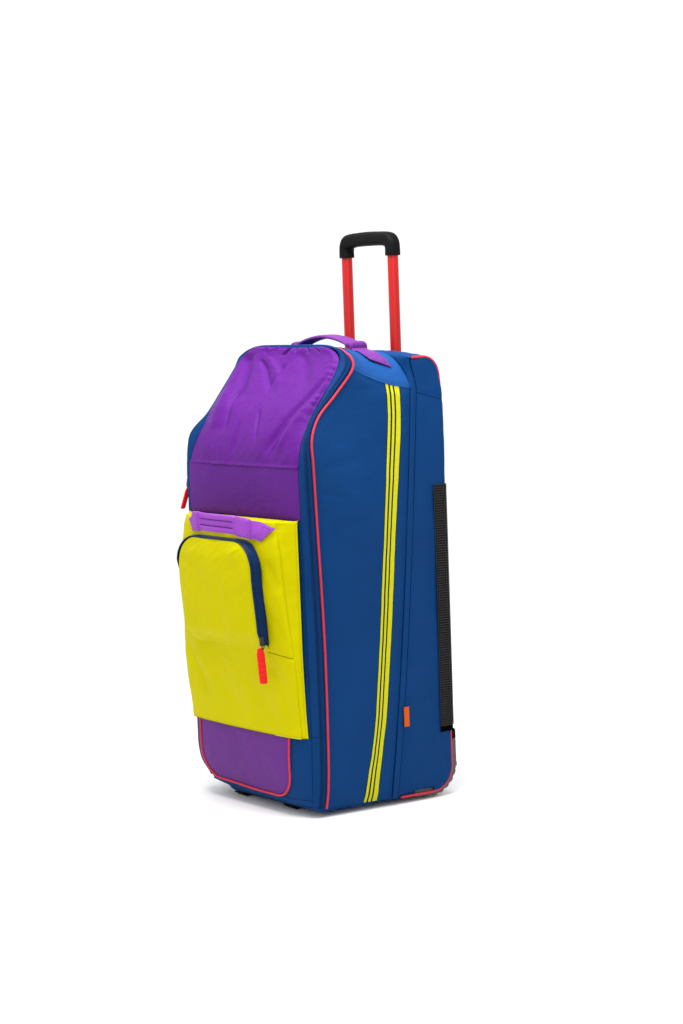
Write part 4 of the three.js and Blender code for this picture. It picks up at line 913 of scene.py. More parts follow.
u, v = grid(36, 330, rim=0.0)
flat = frame_face(u, v)
wide = run_along(flat, 1)
from_zip = wide - ZIP_SHARE * wide[:, -1:]
foot_seam = np.exp(-((flat[..., 2] - FOOT_SEAM_Z) / 1.6) ** 2)
groove = 1.8 * np.exp(-(from_zip / 1.3) ** 2) - 0.7 * np.exp(-((np.abs(from_zip) - 5.5) / 2.2) ** 2)
on_tape = smooth((5.2 - np.abs(from_zip)) / 0.8)
# The foot seam is drawn as a line of painted shade.
values = {"tape": on_tape, "seam": ON_LINE + flat[..., 2] - FOOT_SEAM_Z}
panel("frame_strip", flat, frame_cloth_painted_shade, "blue_cloth", "front_frame", values=values, turned_in=SEAM_ALLOWANCE,
      sink=2.2, reach=4, ripple=0.5, size=60, seed=41, sides="lr", extra=-groove - 0.9 * foot_seam)

# The purple front
# The sloping upper panel is slack shiny nylon, gathered at the top and along its sides, so it hangs in long
# folds. Its foot is a turned hem over the plain middle panel, which is coated cloth.
PURPLE_NYLON = (0.08, 0.007, 0.168)
PURPLE_COATED = (0.085, 0.012, 0.18)
# Where each fold of the upper panel starts and ends, as shares across and up the panel
UPPER_FOLDS = [
    {"start": (0.08, 0.86), "end": (0.24, 0.44), "width": 0.055, "depth": 9.0},
    {"start": (0.24, 0.79), "end": (0.5, 0.52), "width": 0.022, "depth": 5.5},
    {"start": (0.31, 0.82), "end": (0.57, 0.55), "width": 0.03, "depth": -3.5},
    {"start": (0.51, 0.74), "end": (0.47, 0.55), "width": 0.02, "depth": 4.0},
    {"start": (0.18, 1.02), "end": (0.26, 0.87), "width": 0.016, "depth": 4.0},
    {"start": (0.34, 1.02), "end": (0.35, 0.9), "width": 0.013, "depth": 2.5},
    {"start": (0.52, 1.02), "end": (0.44, 0.84), "width": 0.015, "depth": 6.0},
    {"start": (0.59, 1.02), "end": (0.57, 0.9), "width": 0.012, "depth": 4.0},
    {"start": (0.74, 1.02), "end": (0.71, 0.88), "width": 0.014, "depth": 4.5},
    {"start": (0.83, 1.02), "end": (0.85, 0.88), "width": 0.012, "depth": 3.0},
    {"start": (0.97, 0.63), "end": (0.73, 0.1), "width": 0.022, "depth": 6.5},
    {"start": (1.02, 0.53), "end": (0.82, 0.08), "width": 0.03, "depth": -4.0},
    {"start": (0.85, 0.3), "end": (0.77, 0.06), "width": 0.016, "depth": 3.5},
    {"start": (0.18, 0.52), "end": (0.27, 0.22), "width": 0.02, "depth": 5.5},
    {"start": (0.09, 0.52), "end": (0.16, 0.22), "width": 0.05, "depth": -4.0},
    {"start": (0.52, 0.38), "end": (0.61, 0.15), "width": 0.015, "depth": 4.5},
    {"start": (0.4, 0.3), "end": (0.42, 0.06), "width": 0.02, "depth": 2.2},
    {"start": (0.62, 0.9), "end": (0.84, 0.5), "width": 0.045, "depth": 3.0},
]
SIDE_TUCKS = 17
TOP_TUCKS = 13
purple_nylon = woven("purple_nylon", PURPLE_NYLON, roughness=0.42, pitch=0.0005, depth=0.00012, mottle=0.1,
                     gloss=0.07)
crumple = purple_nylon.noise(60, 5, (1, 1, 0.35))
purple_nylon.bump(crumple, 0.0009, 0.4)
purple_coated = woven("purple_coated", PURPLE_COATED, roughness=0.5, pitch=0.0007, depth=0.0001, mottle=0.06)

u, v = grid(170, 140, rim=0.2)
flat = front_face(u, v, FRAME_SEAM_ROW + 0.005, FRAME_TOP_ROW)
a, b = run_along(flat, 1), run_along(flat, 0)
from_right = a[:, -1:] - a
from_top = b[-1:] - b
on_slope = smooth((flat[..., 2] - 705) / 45)
puffed_left = 6.5 * smooth(a / 12) * np.exp(-(a / 110) ** 2)
puffed_right = 3.5 * smooth(from_right / 10) * np.exp(-(from_right / 50) ** 2)
folds = all_folds(u, v, UPPER_FOLDS)
side_tucks = np.sin(2 * math.pi * SIDE_TUCKS * v + 3 * soft_noise(a, b, 60, 5))
side_tucks *= np.exp(-from_right / 14) * smooth(from_right / 4) * on_slope * smooth((0.86 - v) / 0.2)
top_tucks = np.sin(2 * math.pi * TOP_TUCKS * u + 4 * soft_noise(a, b, 80, 6))
top_tucks *= np.exp(-from_top / 14) * smooth(from_top / 4)
hem = 1.6 * smooth((5 - b) / 1.2)
inner = smooth(np.minimum(a, from_right) / 16)
lift = on_slope * (puffed_left + puffed_right) - folds * inner + 1.1 * side_tucks + 0.45 * top_tucks + hem
lift = lift + 0.8 * soft_noise(a, b, 110, 7)
panel("upper_front_cloth", flat, purple_nylon, "purple_cloth", "front_panel_upper", turned_in=FRONT_ALLOWANCE,
      sink=2.0, reach=5, ripple=0.6, size=70, seed=44, sides="lrt", extra=lift)

u, v = grid(70, 24)
flat = front_face(u, v, POCKET_TOP_FRAME_ROW, FRAME_SEAM_ROW)
panel("middle_front_cloth", flat, purple_coated, "purple_cloth", "front_panel_middle",
      turned_in=FRONT_ALLOWANCE, sink=1.8, reach=5, ripple=0.5, size=140, seed=47, sides="rb")

# The main zip
# A folded flap of the blue cloth covers the main zip, sewn along its rear edge, and runs up one side, over
# the top and down the other. Its foot is doubled below the tab.
FLAP_DOUBLED_BELOW = 150
FLAP_DOME = 12


def flap_face(u, v):
    """Up a side on the slanting line, over the top panel's rear edge, and down the other side. Across, it
    goes from the front half's edge to the boxier rear half's."""
    side_share = 0.36
    half = np.minimum(u, 1 - u)
    hand = np.where(u < 0.5, 1, -1)
    z = lerp(SIDE_BOTTOM, SIDE_SEAM_REAR, np.clip(half / side_share, 0, 1))
    y = zip_front_y(z)
    low_front = xyz(HALF_WIDTH + side_bulge(y, z), y + GAP, z)
    low_rear = xyz(HALF_WIDTH + side_bulge(y + ZIP_WIDTH, z), y + ZIP_WIDTH - GAP, z)
    share = np.clip((half - side_share) / (0.5 - side_share), 0, 1)
    high_front = top_face(1 - share / 2, np.ones(np.shape(u))) + [0, 0.3, 0]
    climb_share = 0.42
    climb = np.clip(share / climb_share, 0, 1)
    run = np.clip((share - climb_share) / (1 - climb_share), 0, 1)
    rear_x = lerp(HALF_WIDTH - 4 * climb ** 2, 0, run)
    rear_y = lerp(ZIP_HEAD_Y + ZIP_WIDTH, ZIP_TOP_Y + ZIP_WIDTH, climb) - GAP
    dome = FLAP_DOME * np.clip(1 - (rear_x / (HALF_WIDTH - 4)) ** 3, 0, 1)
    high_rear = xyz(rear_x, rear_y, lerp(SIDE_SEAM_REAR, REAR_TOP - 8, climb) + dome)
    on_top = (half >= side_share)[..., None]
    front = np.where(on_top, high_front, low_front)
    rear = np.where(on_top, high_rear, low_rear)
    return lerp(front, rear, v[..., None]) * np.stack([hand, np.ones_like(hand), np.ones_like(hand)], axis=-1)


u, v = grid(420, 14, rim=0)
flat = flap_face(u, v)
doubled = 0.7 * smooth((FLAP_DOUBLED_BELOW - flat[..., 2]) / 2)
across = run_along(flat, 0)
pressed = 0.7 * np.exp(-((across[-1:] - across - 4) / 1.2) ** 2)
panel("zip_flap", flat, blue_cloth, "navy_zip", "main_zip", turned_in=SEAM_ALLOWANCE,
      sink=1.3, reach=2.2, ripple=0.3, size=60, seed=51, sides="bt", extra=0.6 + doubled - pressed)

# Piping
# A cord in coral-red bias tape is sewn into the seam round the front and round each rear side; the seam's
# blue allowance lies under it. Across the top the front cord sinks into the seam.
REAR_PIPING_X = 199.5
PIPING_RED = (0.5, 0.032, 0.052)
piping_tape = woven("piping_tape", PIPING_RED, roughness=0.45, pitch=0.0006, depth=0.0001, mottle=0.08)


def round_bar(path, radius, sides):
    """A round section carried along a path, with flat ends drawn in: each ring lies across the path's
    tangent. Gives points, quads and cloth coordinates."""
    path = np.asarray(path, float)
    radius = np.broadcast_to(radius, len(path)).copy()
    tangent = unit(np.gradient(path, axis=0))
    lead = np.array([0.31, 0.52, 0.79])
    first = unit(np.cross(tangent, np.where(np.abs(tangent @ lead)[:, None] > 0.95, [1.0, 0, 0], lead)))
    second = np.cross(tangent, first)
    angle = np.linspace(0, 2 * math.pi, sides, endpoint=False)
    ring = first[:, None] * np.cos(angle)[:, None] + second[:, None] * np.sin(angle)[:, None]
    points = path[:, None] + ring * radius[:, None, None]
    ends = np.stack([path[0] + 0 * ring[0], path[-1] + 0 * ring[0]])
    points = np.concatenate([ends[:1], points, ends[1:]])
    run = np.concatenate([[0], run_along(path[None], 1)[0], [0]])
    run[-1] = run[-2]
    turn = np.broadcast_to(angle * np.max(radius), points.shape[:2])
    uv = np.stack([turn, np.broadcast_to(run[:, None], points.shape[:2])], axis=-1)
    quads = sheet_quads(len(points), sides, around=True)
    return points.reshape(-1, 3), quads[:, ::-1], uv.reshape(-1, 2)


def tube(name, path, radius):
    """A round bar of ten sides as a piece of its own."""
    return mesh_object(name, *round_bar(path, radius, 10))


t = np.linspace(0, 1, 520)
path = past_outer_edge(t, np.full(len(t), PIPING_SLOT * 0.42))
TOP_SINK = 4.5
row = np.minimum(t, 1 - t) * FRAME_LAST
path[:, 2] -= TOP_SINK * smooth((row - 9.9) / 0.6)
dress(tube("front_piping_cord", path, PIPING_RADIUS), piping_tape, "red_piping", "front_piping")

share = np.linspace(-2.0, PIPING_SLOT + 2.0, 7)
under = np.stack([past_outer_edge(t, np.full(len(t), s)) for s in share], axis=1)
lining_normal = outward(under, INSIDE)
dress(wall("front_seam_allowance", under - lining_normal * 3.4, lining_normal, 1.0), blue_cloth, "blue_cloth")


def rear_seam(side, edge_x, inset, back_x, back_inset):
    """A line along the rear seam: at the side's edge in the corners, gone round onto the back in between."""
    share = lerp(0.01, 0.99, np.linspace(0, 1, 260))
    height = rear_outline(share, 0)[1]
    wrap = wrap_at(height)
    y, z = rear_outline(share, lerp(inset + seam_drop(share), back_inset, wrap))
    round_it = xyz(side * lerp(edge_x, back_x - corner_at(height), wrap), y, z)
    foot = xyz(side * edge_x, np.linspace(34, y[0] - 1, 14), BODY_BOTTOM + inset)
    return np.concatenate([foot, round_it])


for hand, side in (("right", 1), ("left", -1)):
    path = rear_seam(side, REAR_PIPING_X, 3.5, HALF_WIDTH - 4, 0)
    piece = tube(f"rear_piping_cord_{hand}", path, PIPING_RADIUS)
    dress(piece, piping_tape, "red_piping", f"rear_piping_{hand}")
    first = rear_seam(side, REAR_PIPING_X, 12, HALF_WIDTH + 2, 4.5)
    last = rear_seam(side, REAR_PIPING_X - 9.5, 9, HALF_WIDTH - 12, 4.5)
    under = np.stack([lerp(first, last, t) for t in np.linspace(0, 1, 4)], axis=1)
    piece = wall(f"rear_seam_allowance_{hand}", under, outward(under, INSIDE), 1.0)
    dress(piece, blue_cloth, "blue_cloth")

# The foot patch
# A purple coated wear patch is sewn over the foot of the front, rounded at its lower corners and edged with
# the same piping.
PATCH_HALF = 150
PATCH_TOP = 149
PATCH_FOOT = 33
PATCH_CORNER = 48
PATCH_WALL = 1.4
PATCH_PURPLE = (0.105, 0.023, 0.182)
patch_cloth = woven("patch_cloth", PATCH_PURPLE, roughness=0.5, pitch=0.0008, depth=0.00015, mottle=0.07)


def lower_front_y(x, z):
    """Depth of the lower front panel's face at a place."""
    rows = [{"z": r[2], "edge_x": r[0], "edge_y": r[1]} for r in FRAME_ROWS[:5]]
    share = np.minimum(1, np.abs(x) / read_rows(rows, "edge_x", z))
    swell = read_rows(FRONT_SWELL, "swell", z) * (1 - share ** FRONT_SWELL_POWER)
    return read_rows(rows, "edge_y", z) - swell


def patch_x(x, z):
    """The patch's left side narrows a little towards the foot."""
    share = np.clip((z - PATCH_FOOT) / (PATCH_TOP - PATCH_FOOT), 0, 1)
    return np.where(x < 0, x * lerp(0.93, 1, share), x)


def patch_face(u, v):
    """Rows across the patch, closer together in the rounded foot, which is a quarter circle at each end."""
    z = lerp(PATCH_FOOT, PATCH_TOP + 3, 1 - np.cos(math.pi / 2 * v))
    down = np.clip((PATCH_FOOT + PATCH_CORNER - z) / PATCH_CORNER, 0, 1)
    x = patch_x((2 * u - 1) * (PATCH_HALF - PATCH_CORNER * (1 - np.sqrt(1 - down * down))), z)
    return xyz(x, lower_front_y(x, z) - PATCH_WALL - 1.4, z)


u, v = grid(80, 44, rim=0)
panel("foot_patch", patch_face(u, v), patch_cloth, "purple_cloth", "front_patch", thickness=PATCH_WALL,
      sink=1.2, reach=5, ripple=0.5, size=90, seed=61, sides="lrb")

quarter = np.linspace(0, math.pi / 2, 24)
outset = PIPING_RADIUS + 0.4
arc_x = PATCH_HALF - PATCH_CORNER + (PATCH_CORNER + outset) * np.cos(quarter)
arc_z = PATCH_FOOT + PATCH_CORNER - (PATCH_CORNER + outset) * np.sin(quarter)
foot_x = np.linspace(PATCH_HALF - PATCH_CORNER, 0, 24)[1:]
half_x = np.concatenate([np.full(16, PATCH_HALF + outset), arc_x, foot_x])
foot_z = np.full(len(foot_x), PATCH_FOOT - outset)
half_z = np.concatenate([np.linspace(PATCH_TOP, arc_z[0] + 3, 16), arc_z, foot_z])
plan_z = np.concatenate([half_z, half_z[-2::-1]])
plan_x = patch_x(np.concatenate([half_x, -half_x[-2::-1]]), plan_z)
path = xyz(plan_x, lower_front_y(plan_x, np.maximum(plan_z, 17)) - PIPING_RADIUS - 0.4, plan_z)
dress(tube("patch_piping_cord", path, PIPING_RADIUS), piping_tape, "red_piping", "patch_piping")

# The front pocket
# A tray of yellow coated cloth: a crowned face, a sloping gusset down each side, a narrow lid and a cross
# seam beside the pouch. It carries an outer pouch with its own face.
POCKET_ROWS = [
    {"z": 150, "base_x": 196, "base_y": -170.5, "crease_x": 188, "crease_y": -178, "face_y": -194},
    {"z": 197, "base_x": 193, "base_y": -170.5, "crease_x": 187, "crease_y": -181, "face_y": -195},
    {"z": 301, "base_x": 190, "base_y": -171, "crease_x": 186, "crease_y": -188, "face_y": -206},
    {"z": 400, "base_x": 188, "base_y": -171, "crease_x": 172, "crease_y": -192, "face_y": -216},
    {"z": 481, "base_x": 187, "base_y": -171, "crease_x": 165, "crease_y": -195, "face_y": -217},
    {"z": 530, "base_x": 186, "base_y": -171, "crease_x": 157, "crease_y": -196, "face_y": -208},
    {"z": 547, "base_x": 186, "base_y": -171, "crease_x": 153, "crease_y": -195, "face_y": -201},
]
POCKET_FOOT = 150
POCKET_TOP = 547
POCKET_CROWN = 0.35
POCKET_LID = 4
POCKET_SEAM_Z = 307
GUSSET_SHARE = 0.2
YELLOW = (0.465, 0.42, 0.0003)
yellow_cloth = woven("yellow_cloth", YELLOW, roughness=0.5, pitch=0.0008, depth=0.00004, mottle=0.05,
                     gloss=0.02)


def pocket_y(x, z):
    """Depth of the pocket's face: from its crease out to its middle, on a blunt crown across."""
    crease = read_rows(POCKET_ROWS, "crease_x", z)
    rise = np.maximum(0, 1 - (x / crease) ** 2) ** POCKET_CROWN
    return lerp(read_rows(POCKET_ROWS, "crease_y", z), read_rows(POCKET_ROWS, "face_y", z), rise)


def pocket_face(u, v):
    """Across: gusset, face, gusset. Up: the face, then the lid back to the body."""
    lid_share = 0.92
    rise = np.clip(v / lid_share, 0, 1)
    lid = np.clip((v - lid_share) / (1 - lid_share), 0, 1)
    z = lerp(POCKET_FOOT, POCKET_TOP, rise)
    share = 2 * u - 1
    on_face = np.sin(math.pi / 2 * np.clip(np.abs(share) / (1 - GUSSET_SHARE), 0, 1))
    gusset = np.clip((np.abs(share) - 1 + GUSSET_SHARE) / GUSSET_SHARE, 0, 1)
    crease = read_rows(POCKET_ROWS, "crease_x", z)
    base_y = read_rows(POCKET_ROWS, "base_y", z)
    x = np.sign(share) * lerp(on_face * crease, read_rows(POCKET_ROWS, "base_x", z), gusset)
    face_y = lerp(pocket_y(on_face * crease, z), base_y, gusset)
    drawn_in = 8 * np.clip(-share, 0, 1) * smooth((230 - z) / 80)
    return xyz(x + drawn_in, lerp(face_y, base_y, lid), z + POCKET_LID * lid)


BEHIND_POCKET = np.array([0, -150, 300])
POCKET_DENTS = [
    {"start": (-165, 304), "end": (-105, 205), "width": 13, "depth": 5.5},
    {"start": (-150, 306), "end": (-60, 240), "width": 26, "depth": -2.5},
    {"start": (60, 290), "end": (150, 270), "width": 22, "depth": 3.2},
    {"start": (40, 230), "end": (130, 215), "width": 18, "depth": 2.4},
    {"start": (150, 215), "end": (182, 165), "width": 16, "depth": 2.4},
    {"start": (-40, 250), "end": (30, 190), "width": 30, "depth": 2.0},
    {"start": (140, 480), "end": (163, 420), "width": 12, "depth": 2.0},
]
u, v = grid(140, 150, rim=0)
flat = pocket_face(u, v)
x, z = flat[..., 0], flat[..., 2]
dents = all_folds(x, z, POCKET_DENTS)
from_crease = np.abs(np.abs(2 * u - 1) - 1 + GUSSET_SHARE)
crease_line = 0.9 * np.exp(-(from_crease * 190 / 1.5) ** 2)
past_seam = z - POCKET_SEAM_Z + 0.12 * (np.abs(x) - 128)
beside_pouch = (x > 118) & (2 * u - 1 < 1 - GUSSET_SHARE)
cross_seam = 1.6 * np.exp(-(past_seam / 3.0) ** 2) * beside_pouch
# Painted shadow: a dark line along the pocket's foot, where its lower edge casts shade; the cross seam beside
# the pouch is a line of painted shade.
foot_seam = np.where(z < POCKET_FOOT + 10, ON_LINE - 0.8 + z - POCKET_FOOT, 0)
seam = np.where(beside_pouch, ON_LINE + past_seam, foot_seam)
panel("pocket_cloth", flat, yellow_cloth, "yellow_cloth", "pocket_tray", values={"seam": seam}, stitched=4,
      inside=BEHIND_POCKET, sink=1.5, reach=4, ripple=1.8, size=95, seed=71,
      extra=-dents - crease_line - cross_seam)

POUCH_HALF = 123
POUCH_FOOT = 306
POUCH_TOP = 512
POUCH_CORNER = 56
POUCH_DEPTH = 20
POUCH_RISE = 42
POUCH_WALL = 2
POUCH_CLEAR = 0.6


def pouch_lift(z):
    """How far the pouch's face stands off the pocket: a quarter sine up from its foot, which is sewn down."""
    rise = np.sin(math.pi / 2 * np.clip((z - POUCH_FOOT) / POUCH_RISE, 0, 1))
    return lerp(-POUCH_WALL, POUCH_WALL + POUCH_DEPTH, rise)


def pouch_flare(z):
    """How much wider the pouch is towards its foot."""
    return 6 * smooth((470 - z) / 110)


def pouch_bulge(x, z):
    """How far the pouch hangs out to the left, most at its top corner."""
    return -10 * np.clip(-x / POUCH_HALF, 0, 1) * smooth((z - 360) / 90)


def pouch_face(u, v):
    """Rows across the pouch, whose top corners are quarter circles."""
    z = lerp(POUCH_FOOT, POUCH_TOP, np.sin(math.pi / 2 * v))
    up = np.clip((z - POUCH_TOP + POUCH_CORNER) / POUCH_CORNER, 0, 1)
    share = 2 * u - 1
    x = share * (POUCH_HALF + pouch_flare(z) - POUCH_CORNER * (1 - np.sqrt(1 - up * up)))
    x = x + pouch_bulge(x, z)
    crown = 3 * (1 - share ** 2) * np.clip(v * 4, 0, 1)
    return xyz(x, pocket_y(x, z) - pouch_lift(z) - crown, z)


BEHIND_POUCH = np.array([0, 0, 400])
POUCH_DENTS = [
    {"start": (-118, 470), "end": (-60, 455), "width": 12, "depth": 2.0},
    {"start": (-90, 420), "end": (90, 400), "width": 34, "depth": 2.2},
    {"start": (-100, 350), "end": (40, 362), "width": 18, "depth": 2.4},
    {"start": (60, 500), "end": (118, 440), "width": 16, "depth": -1.6},
    {"start": (90, 430), "end": (112, 340), "width": 14, "depth": 1.8},
]
u, v = grid(100, 100, rim=0)
flat = pouch_face(u, v)
dents = all_folds(flat[..., 0], flat[..., 2], POUCH_DENTS)
panel("pouch_cloth", flat, yellow_cloth, "yellow_cloth", "pouch_face", thickness=POUCH_WALL,
      inside=BEHIND_POUCH, sink=3.2, reach=5, ripple=1.6, size=80, seed=77, sides="lrt", extra=-dents)

# The pouch's zip
# A band of smooth laminated zip tape follows the arch of the pouch back to the pocket, with its teeth hidden
# behind a fine split, a black slider at its right foot and a moulded red pull on a cord loop.
POUCH_ZIP_FOOT = 322
SPLIT_DEPTH = 5
WITHIN_ARCH = np.array([0, -210, 400])
NAVY = (0.004, 0.02, 0.075)
zip_tape = woven("zip_tape", NAVY, roughness=0.36, pitch=0.0007, depth=0.00008, mottle=0.1)


def pouch_zip_face(u, v):
    """Up a side, round a quarter circle, over the top and down the other side, where it's tucked behind the
    pouch's edge. v runs back to the pocket."""
    straight = POUCH_TOP - POUCH_CORNER - POUCH_ZIP_FOOT
    bend = math.pi / 2 * POUCH_CORNER
    flat_half = POUCH_HALF - POUCH_CORNER
    walked = np.minimum(u, 1 - u) * 2 * (straight + bend + flat_half)
    hand = np.where(u < 0.5, 1, -1)
    radius = POUCH_CORNER + POUCH_WALL + POUCH_CLEAR * 1.6
    angle = np.clip((walked - straight) / bend, 0, 1) * math.pi / 2
    x = flat_half + radius * np.cos(angle) - np.maximum(0, walked - straight - bend)
    z = POUCH_ZIP_FOOT + np.minimum(walked, straight) + radius * np.sin(angle)
    x = hand * (x + pouch_flare(z))
    x = x + pouch_bulge(x, z)
    base = pocket_y(x, np.minimum(z, POUCH_TOP)) - POUCH_CLEAR
    tucked = 6 * smooth((470 - z) / 30) * (hand < 0)
    return xyz(x, lerp(base - pouch_lift(np.minimum(z, POUCH_TOP)) - 1.0 + tucked, base, v), z)


u, v = grid(320, 24, rim=0)
flat = pouch_zip_face(u, v)
deep = run_along(flat, 0)
split = np.exp(-((deep - SPLIT_DEPTH) / 0.8) ** 2) - 0.5 * np.exp(-((deep - SPLIT_DEPTH - 2.6) / 1.4) ** 2)
# The split is drawn as a line of painted shade.
values = {"seam": ON_LINE + deep - SPLIT_DEPTH}
panel("pouch_zip_tape", flat, zip_tape, "navy_zip", "pouch_zip", thickness=POUCH_WALL, values=values,
      inside=WITHIN_ARCH, sink=1.2, reach=2, ripple=0.25, size=50, seed=81, sides="bt", extra=-split)



def two_toned(name, tones, roughness, grain, **fixed):
    """A hard finish whose colour and roughness wander together between two of each. grain is the noise's
    scale, detail and stretch."""
    finish = Finish(name, **fixed)
    wander = finish.noise(*grain)
    least, most = roughness
    finish.feed("Base Color", wander.blend(*tones))
    finish.feed("Roughness", wander * (most - least) + least)
    return finish


SLIDER_BLACKS = [(0.012, 0.012, 0.013), (0.035, 0.035, 0.036)]
black_metal = two_toned("black_metal", SLIDER_BLACKS, (0.25, 0.5), (300, 3), specular_ior_level=0.3)
PULL_REDS = [(0.561, 0.0068, 0.00935), (0.66, 0.008, 0.011)]
red_pull = two_toned("red_pull", PULL_REDS, (0.32, 0.52), (220, 3), specular_ior_level=0.15)
red_pull.bump(red_pull.noise(500, 2), 0.0004, 0.3)


def turned(points, turn, place):
    """Points turned about Z, then moved."""
    c, s = math.cos(turn), math.sin(turn)
    return points @ np.array([[c, s, 0], [-s, c, 0], [0, 0, 1]]) + place


def pebble(half, power, rows=14, sides=20):
    """A moulded block with rounded edges: a sphere whose sines and cosines are flattened by a power. Gives
    points and quads."""
    up, round_it = np.meshgrid(np.linspace(-math.pi / 2, math.pi / 2, rows),
                               np.linspace(0, 2 * math.pi, sides, endpoint=False), indexing="ij")

    def flatter(t):
        """A sine or cosine by the power, with its sign kept."""
        return np.sign(t) * np.abs(t) ** power
    level, height = flatter(np.cos(up)), flatter(np.sin(up))
    points = xyz(level * flatter(np.cos(round_it)), level * flatter(np.sin(round_it)), height) * half
    return points.reshape(-1, 3), sheet_quads(rows, sides, around=True)


def joined(parts):
    """Several lots of points and quads as one."""
    count = np.cumsum([0] + [len(p) for p, _ in parts])
    quads = [q + start for (_, q), start in zip(parts, count)]
    return np.concatenate([p for p, _ in parts]), np.concatenate(quads)


def slider(name, place, turn, *nodes):
    """A zip slider: a waisted body, a bridge over its back and a cord loop for the pull."""
    body = pebble(np.array([4.6, 3, 8.5]), 0.5)
    body[0][:, 0] *= 1 - 0.22 * np.exp(-((body[0][:, 2] + 2) / 3) ** 2)
    arc = np.linspace(-1, 1, 16)
    bridge = round_bar(xyz(0 * arc, -2.2 - 2.4 * np.sqrt(1 - arc ** 2), 6.2 * arc), 0.9, 8)
    turn_round = np.linspace(0, 2 * math.pi, 30)
    sway, climb = np.cos(turn_round), np.sin(turn_round)
    cord = round_bar(xyz(2.6 * sway, -4.2 - 0.4 * climb, -6 + 8 * climb), 1.1, 8)
    points, quads = joined([body, bridge[:2], cord[:2]])
    piece = mesh_object(name, turned(points, turn, place), quads)
    return dress(piece, black_metal, "black_slider", *nodes)


def pull_tab(name, head, foot, width, thickness, turn, *nodes):
    """A moulded tab that hangs from a slider: a flattened round section along a straight line, narrow at the
    head, with grip ribs."""
    head, foot = np.array(head, float), np.array(foot, float)
    s = np.linspace(0, 1, 60)
    half = lerp(0.7, 1.0, smooth(s / 0.2)) * np.sqrt(np.clip(1 - np.abs(2 * s - 1) ** 24, 0, 1)) * width / 2
    ribs = 1 + 0.3 * np.sin(s * 2 * math.pi * 7) * smooth((s - 0.3) / 0.1) * smooth((0.92 - s) / 0.1)
    deep = thickness / 2 * ribs * np.sqrt(np.clip(1 - np.abs(2 * s - 1) ** 10, 0, 1))
    angle = np.linspace(0, 2 * math.pi, 20, endpoint=False)
    wide = np.array([math.cos(turn), math.sin(turn), 0])
    along = unit(foot - head)
    out = np.cross(wide, along)
    flat = [np.sign(f) * np.abs(f) ** 0.7 for f in (np.cos(angle), np.sin(angle))]
    points = (lerp(head, foot, s[:, None])[:, None] + wide * (half[:, None] * flat[0])[..., None]
              + out * (deep[:, None] * flat[1])[..., None])
    quads = sheet_quads(len(s), len(angle), around=True)
    return dress(mesh_object(name, points.reshape(-1, 3), quads), red_pull, "red_pull", *nodes)


slider("pouch_zip_slider", (POUCH_HALF + 9, -222, 330), math.pi / 2, "pouch_slider")
pull_tab("pouch_zip_pull", (132, -226, 319), (138, -224.5, 252), 15, 5.5, math.pi / 2.6, "pouch_pull")

# The front lid's zip ends
# Two sliders meet on the left corner of the front frame, each with a red pull.
LID_PULL_TURN = -math.pi / 2.1
for level, place, head, foot in (
    ("upper", (-209, -152, 604), (-209, -154, 595), (-209.5, -169, 553)),
    ("lower", (-210, -146, 566), (-210.5, -147, 557), (-211.5, -152, 516)),
):
    slider(f"lid_slider_{level}", place, LID_PULL_TURN, f"frame_slider_{level}")
    pull_tab(f"lid_pull_{level}", head, foot, 11, 3.6, LID_PULL_TURN, f"frame_pull_{level}")

# The webbing handles
# Purple webbing with a padded grip, a wrapped band at each end of the grip and flat slanted tabs sewn down
# with a box stitch. The front grip is quilted with two sewn lines.
PURPLE_WEBBING = (0.27, 0.06, 0.42)
STITCH_BOX = 0.0125
STRIP_LENGTH = 0.4  # along a strip's own coordinates, whatever its path


def sewn_webbing(name, colour):
    """Webbing whose ends are sewn down with a crossed box, drawn from its own coordinates in metres."""
    finish = woven(name, colour, roughness=0.5, pitch=0.0013, depth=0.0003, mottle=0.1, gloss=0.05)
    across, along = finish.uv()
    from_end = along.maths("MINIMUM", STRIP_LENGTH - along) - 0.021
    aside = across.maths("ABSOLUTE")
    lengthways = from_end.maths("ABSOLUTE")
    in_box = (aside < STITCH_BOX) * (lengthways < 0.016)
    in_line = (aside < STITCH_BOX - 0.001) * (lengthways < 0.015)
    crossed = (aside * (0.016 / STITCH_BOX) - lengthways).maths("ABSOLUTE") < 0.0007
    dashes = ((across + along) * (2 * math.pi / STITCH)).sine() > -0.6
    sewn = (in_box - in_line + in_line * crossed) * dashes
    finish.feed("Base Color", sewn.blend(finish.base, [c * 0.25 for c in colour]))
    finish.bump(sewn * -1, 0.0006, 0.6)
    return finish


# The top handle's webbing is painted at under half the front handle's purple, as painted shade; both handles
# are the same webbing.
top_webbing_painted_shade = sewn_webbing("top_webbing_painted_shade", [c * 0.45 for c in PURPLE_WEBBING])
front_webbing = sewn_webbing("front_webbing", PURPLE_WEBBING)
TOP_HANDLE_Y = 44
FRONT_HANDLE_Z = 543


def on_top(x, y):
    """Height of the top panel at a place on it."""
    part = np.minimum(1, np.abs(x) / lerp(seam_front[0], HALF_WIDTH, 0.6))
    front_y = lerp(TOP_FRONT_Y, seam_front[1], part ** 8)
    rear_y = lerp(ZIP_TOP_Y, ZIP_HEAD_Y, part ** 3)
    return top_z(part, np.clip((y - front_y) / (rear_y - front_y), 0, 1))


def laid_on_top(points):
    """Sets the ends of the top handle down on the top panel."""
    x, y, z = np.moveaxis(points, -1, 0)
    aside = np.abs(x)
    laid_z = on_top(x, y) + 0.8 + 3 * smooth((aside - 140) / 30)
    return xyz(x, y, lerp(z, laid_z, smooth((aside - 108) / 14)))


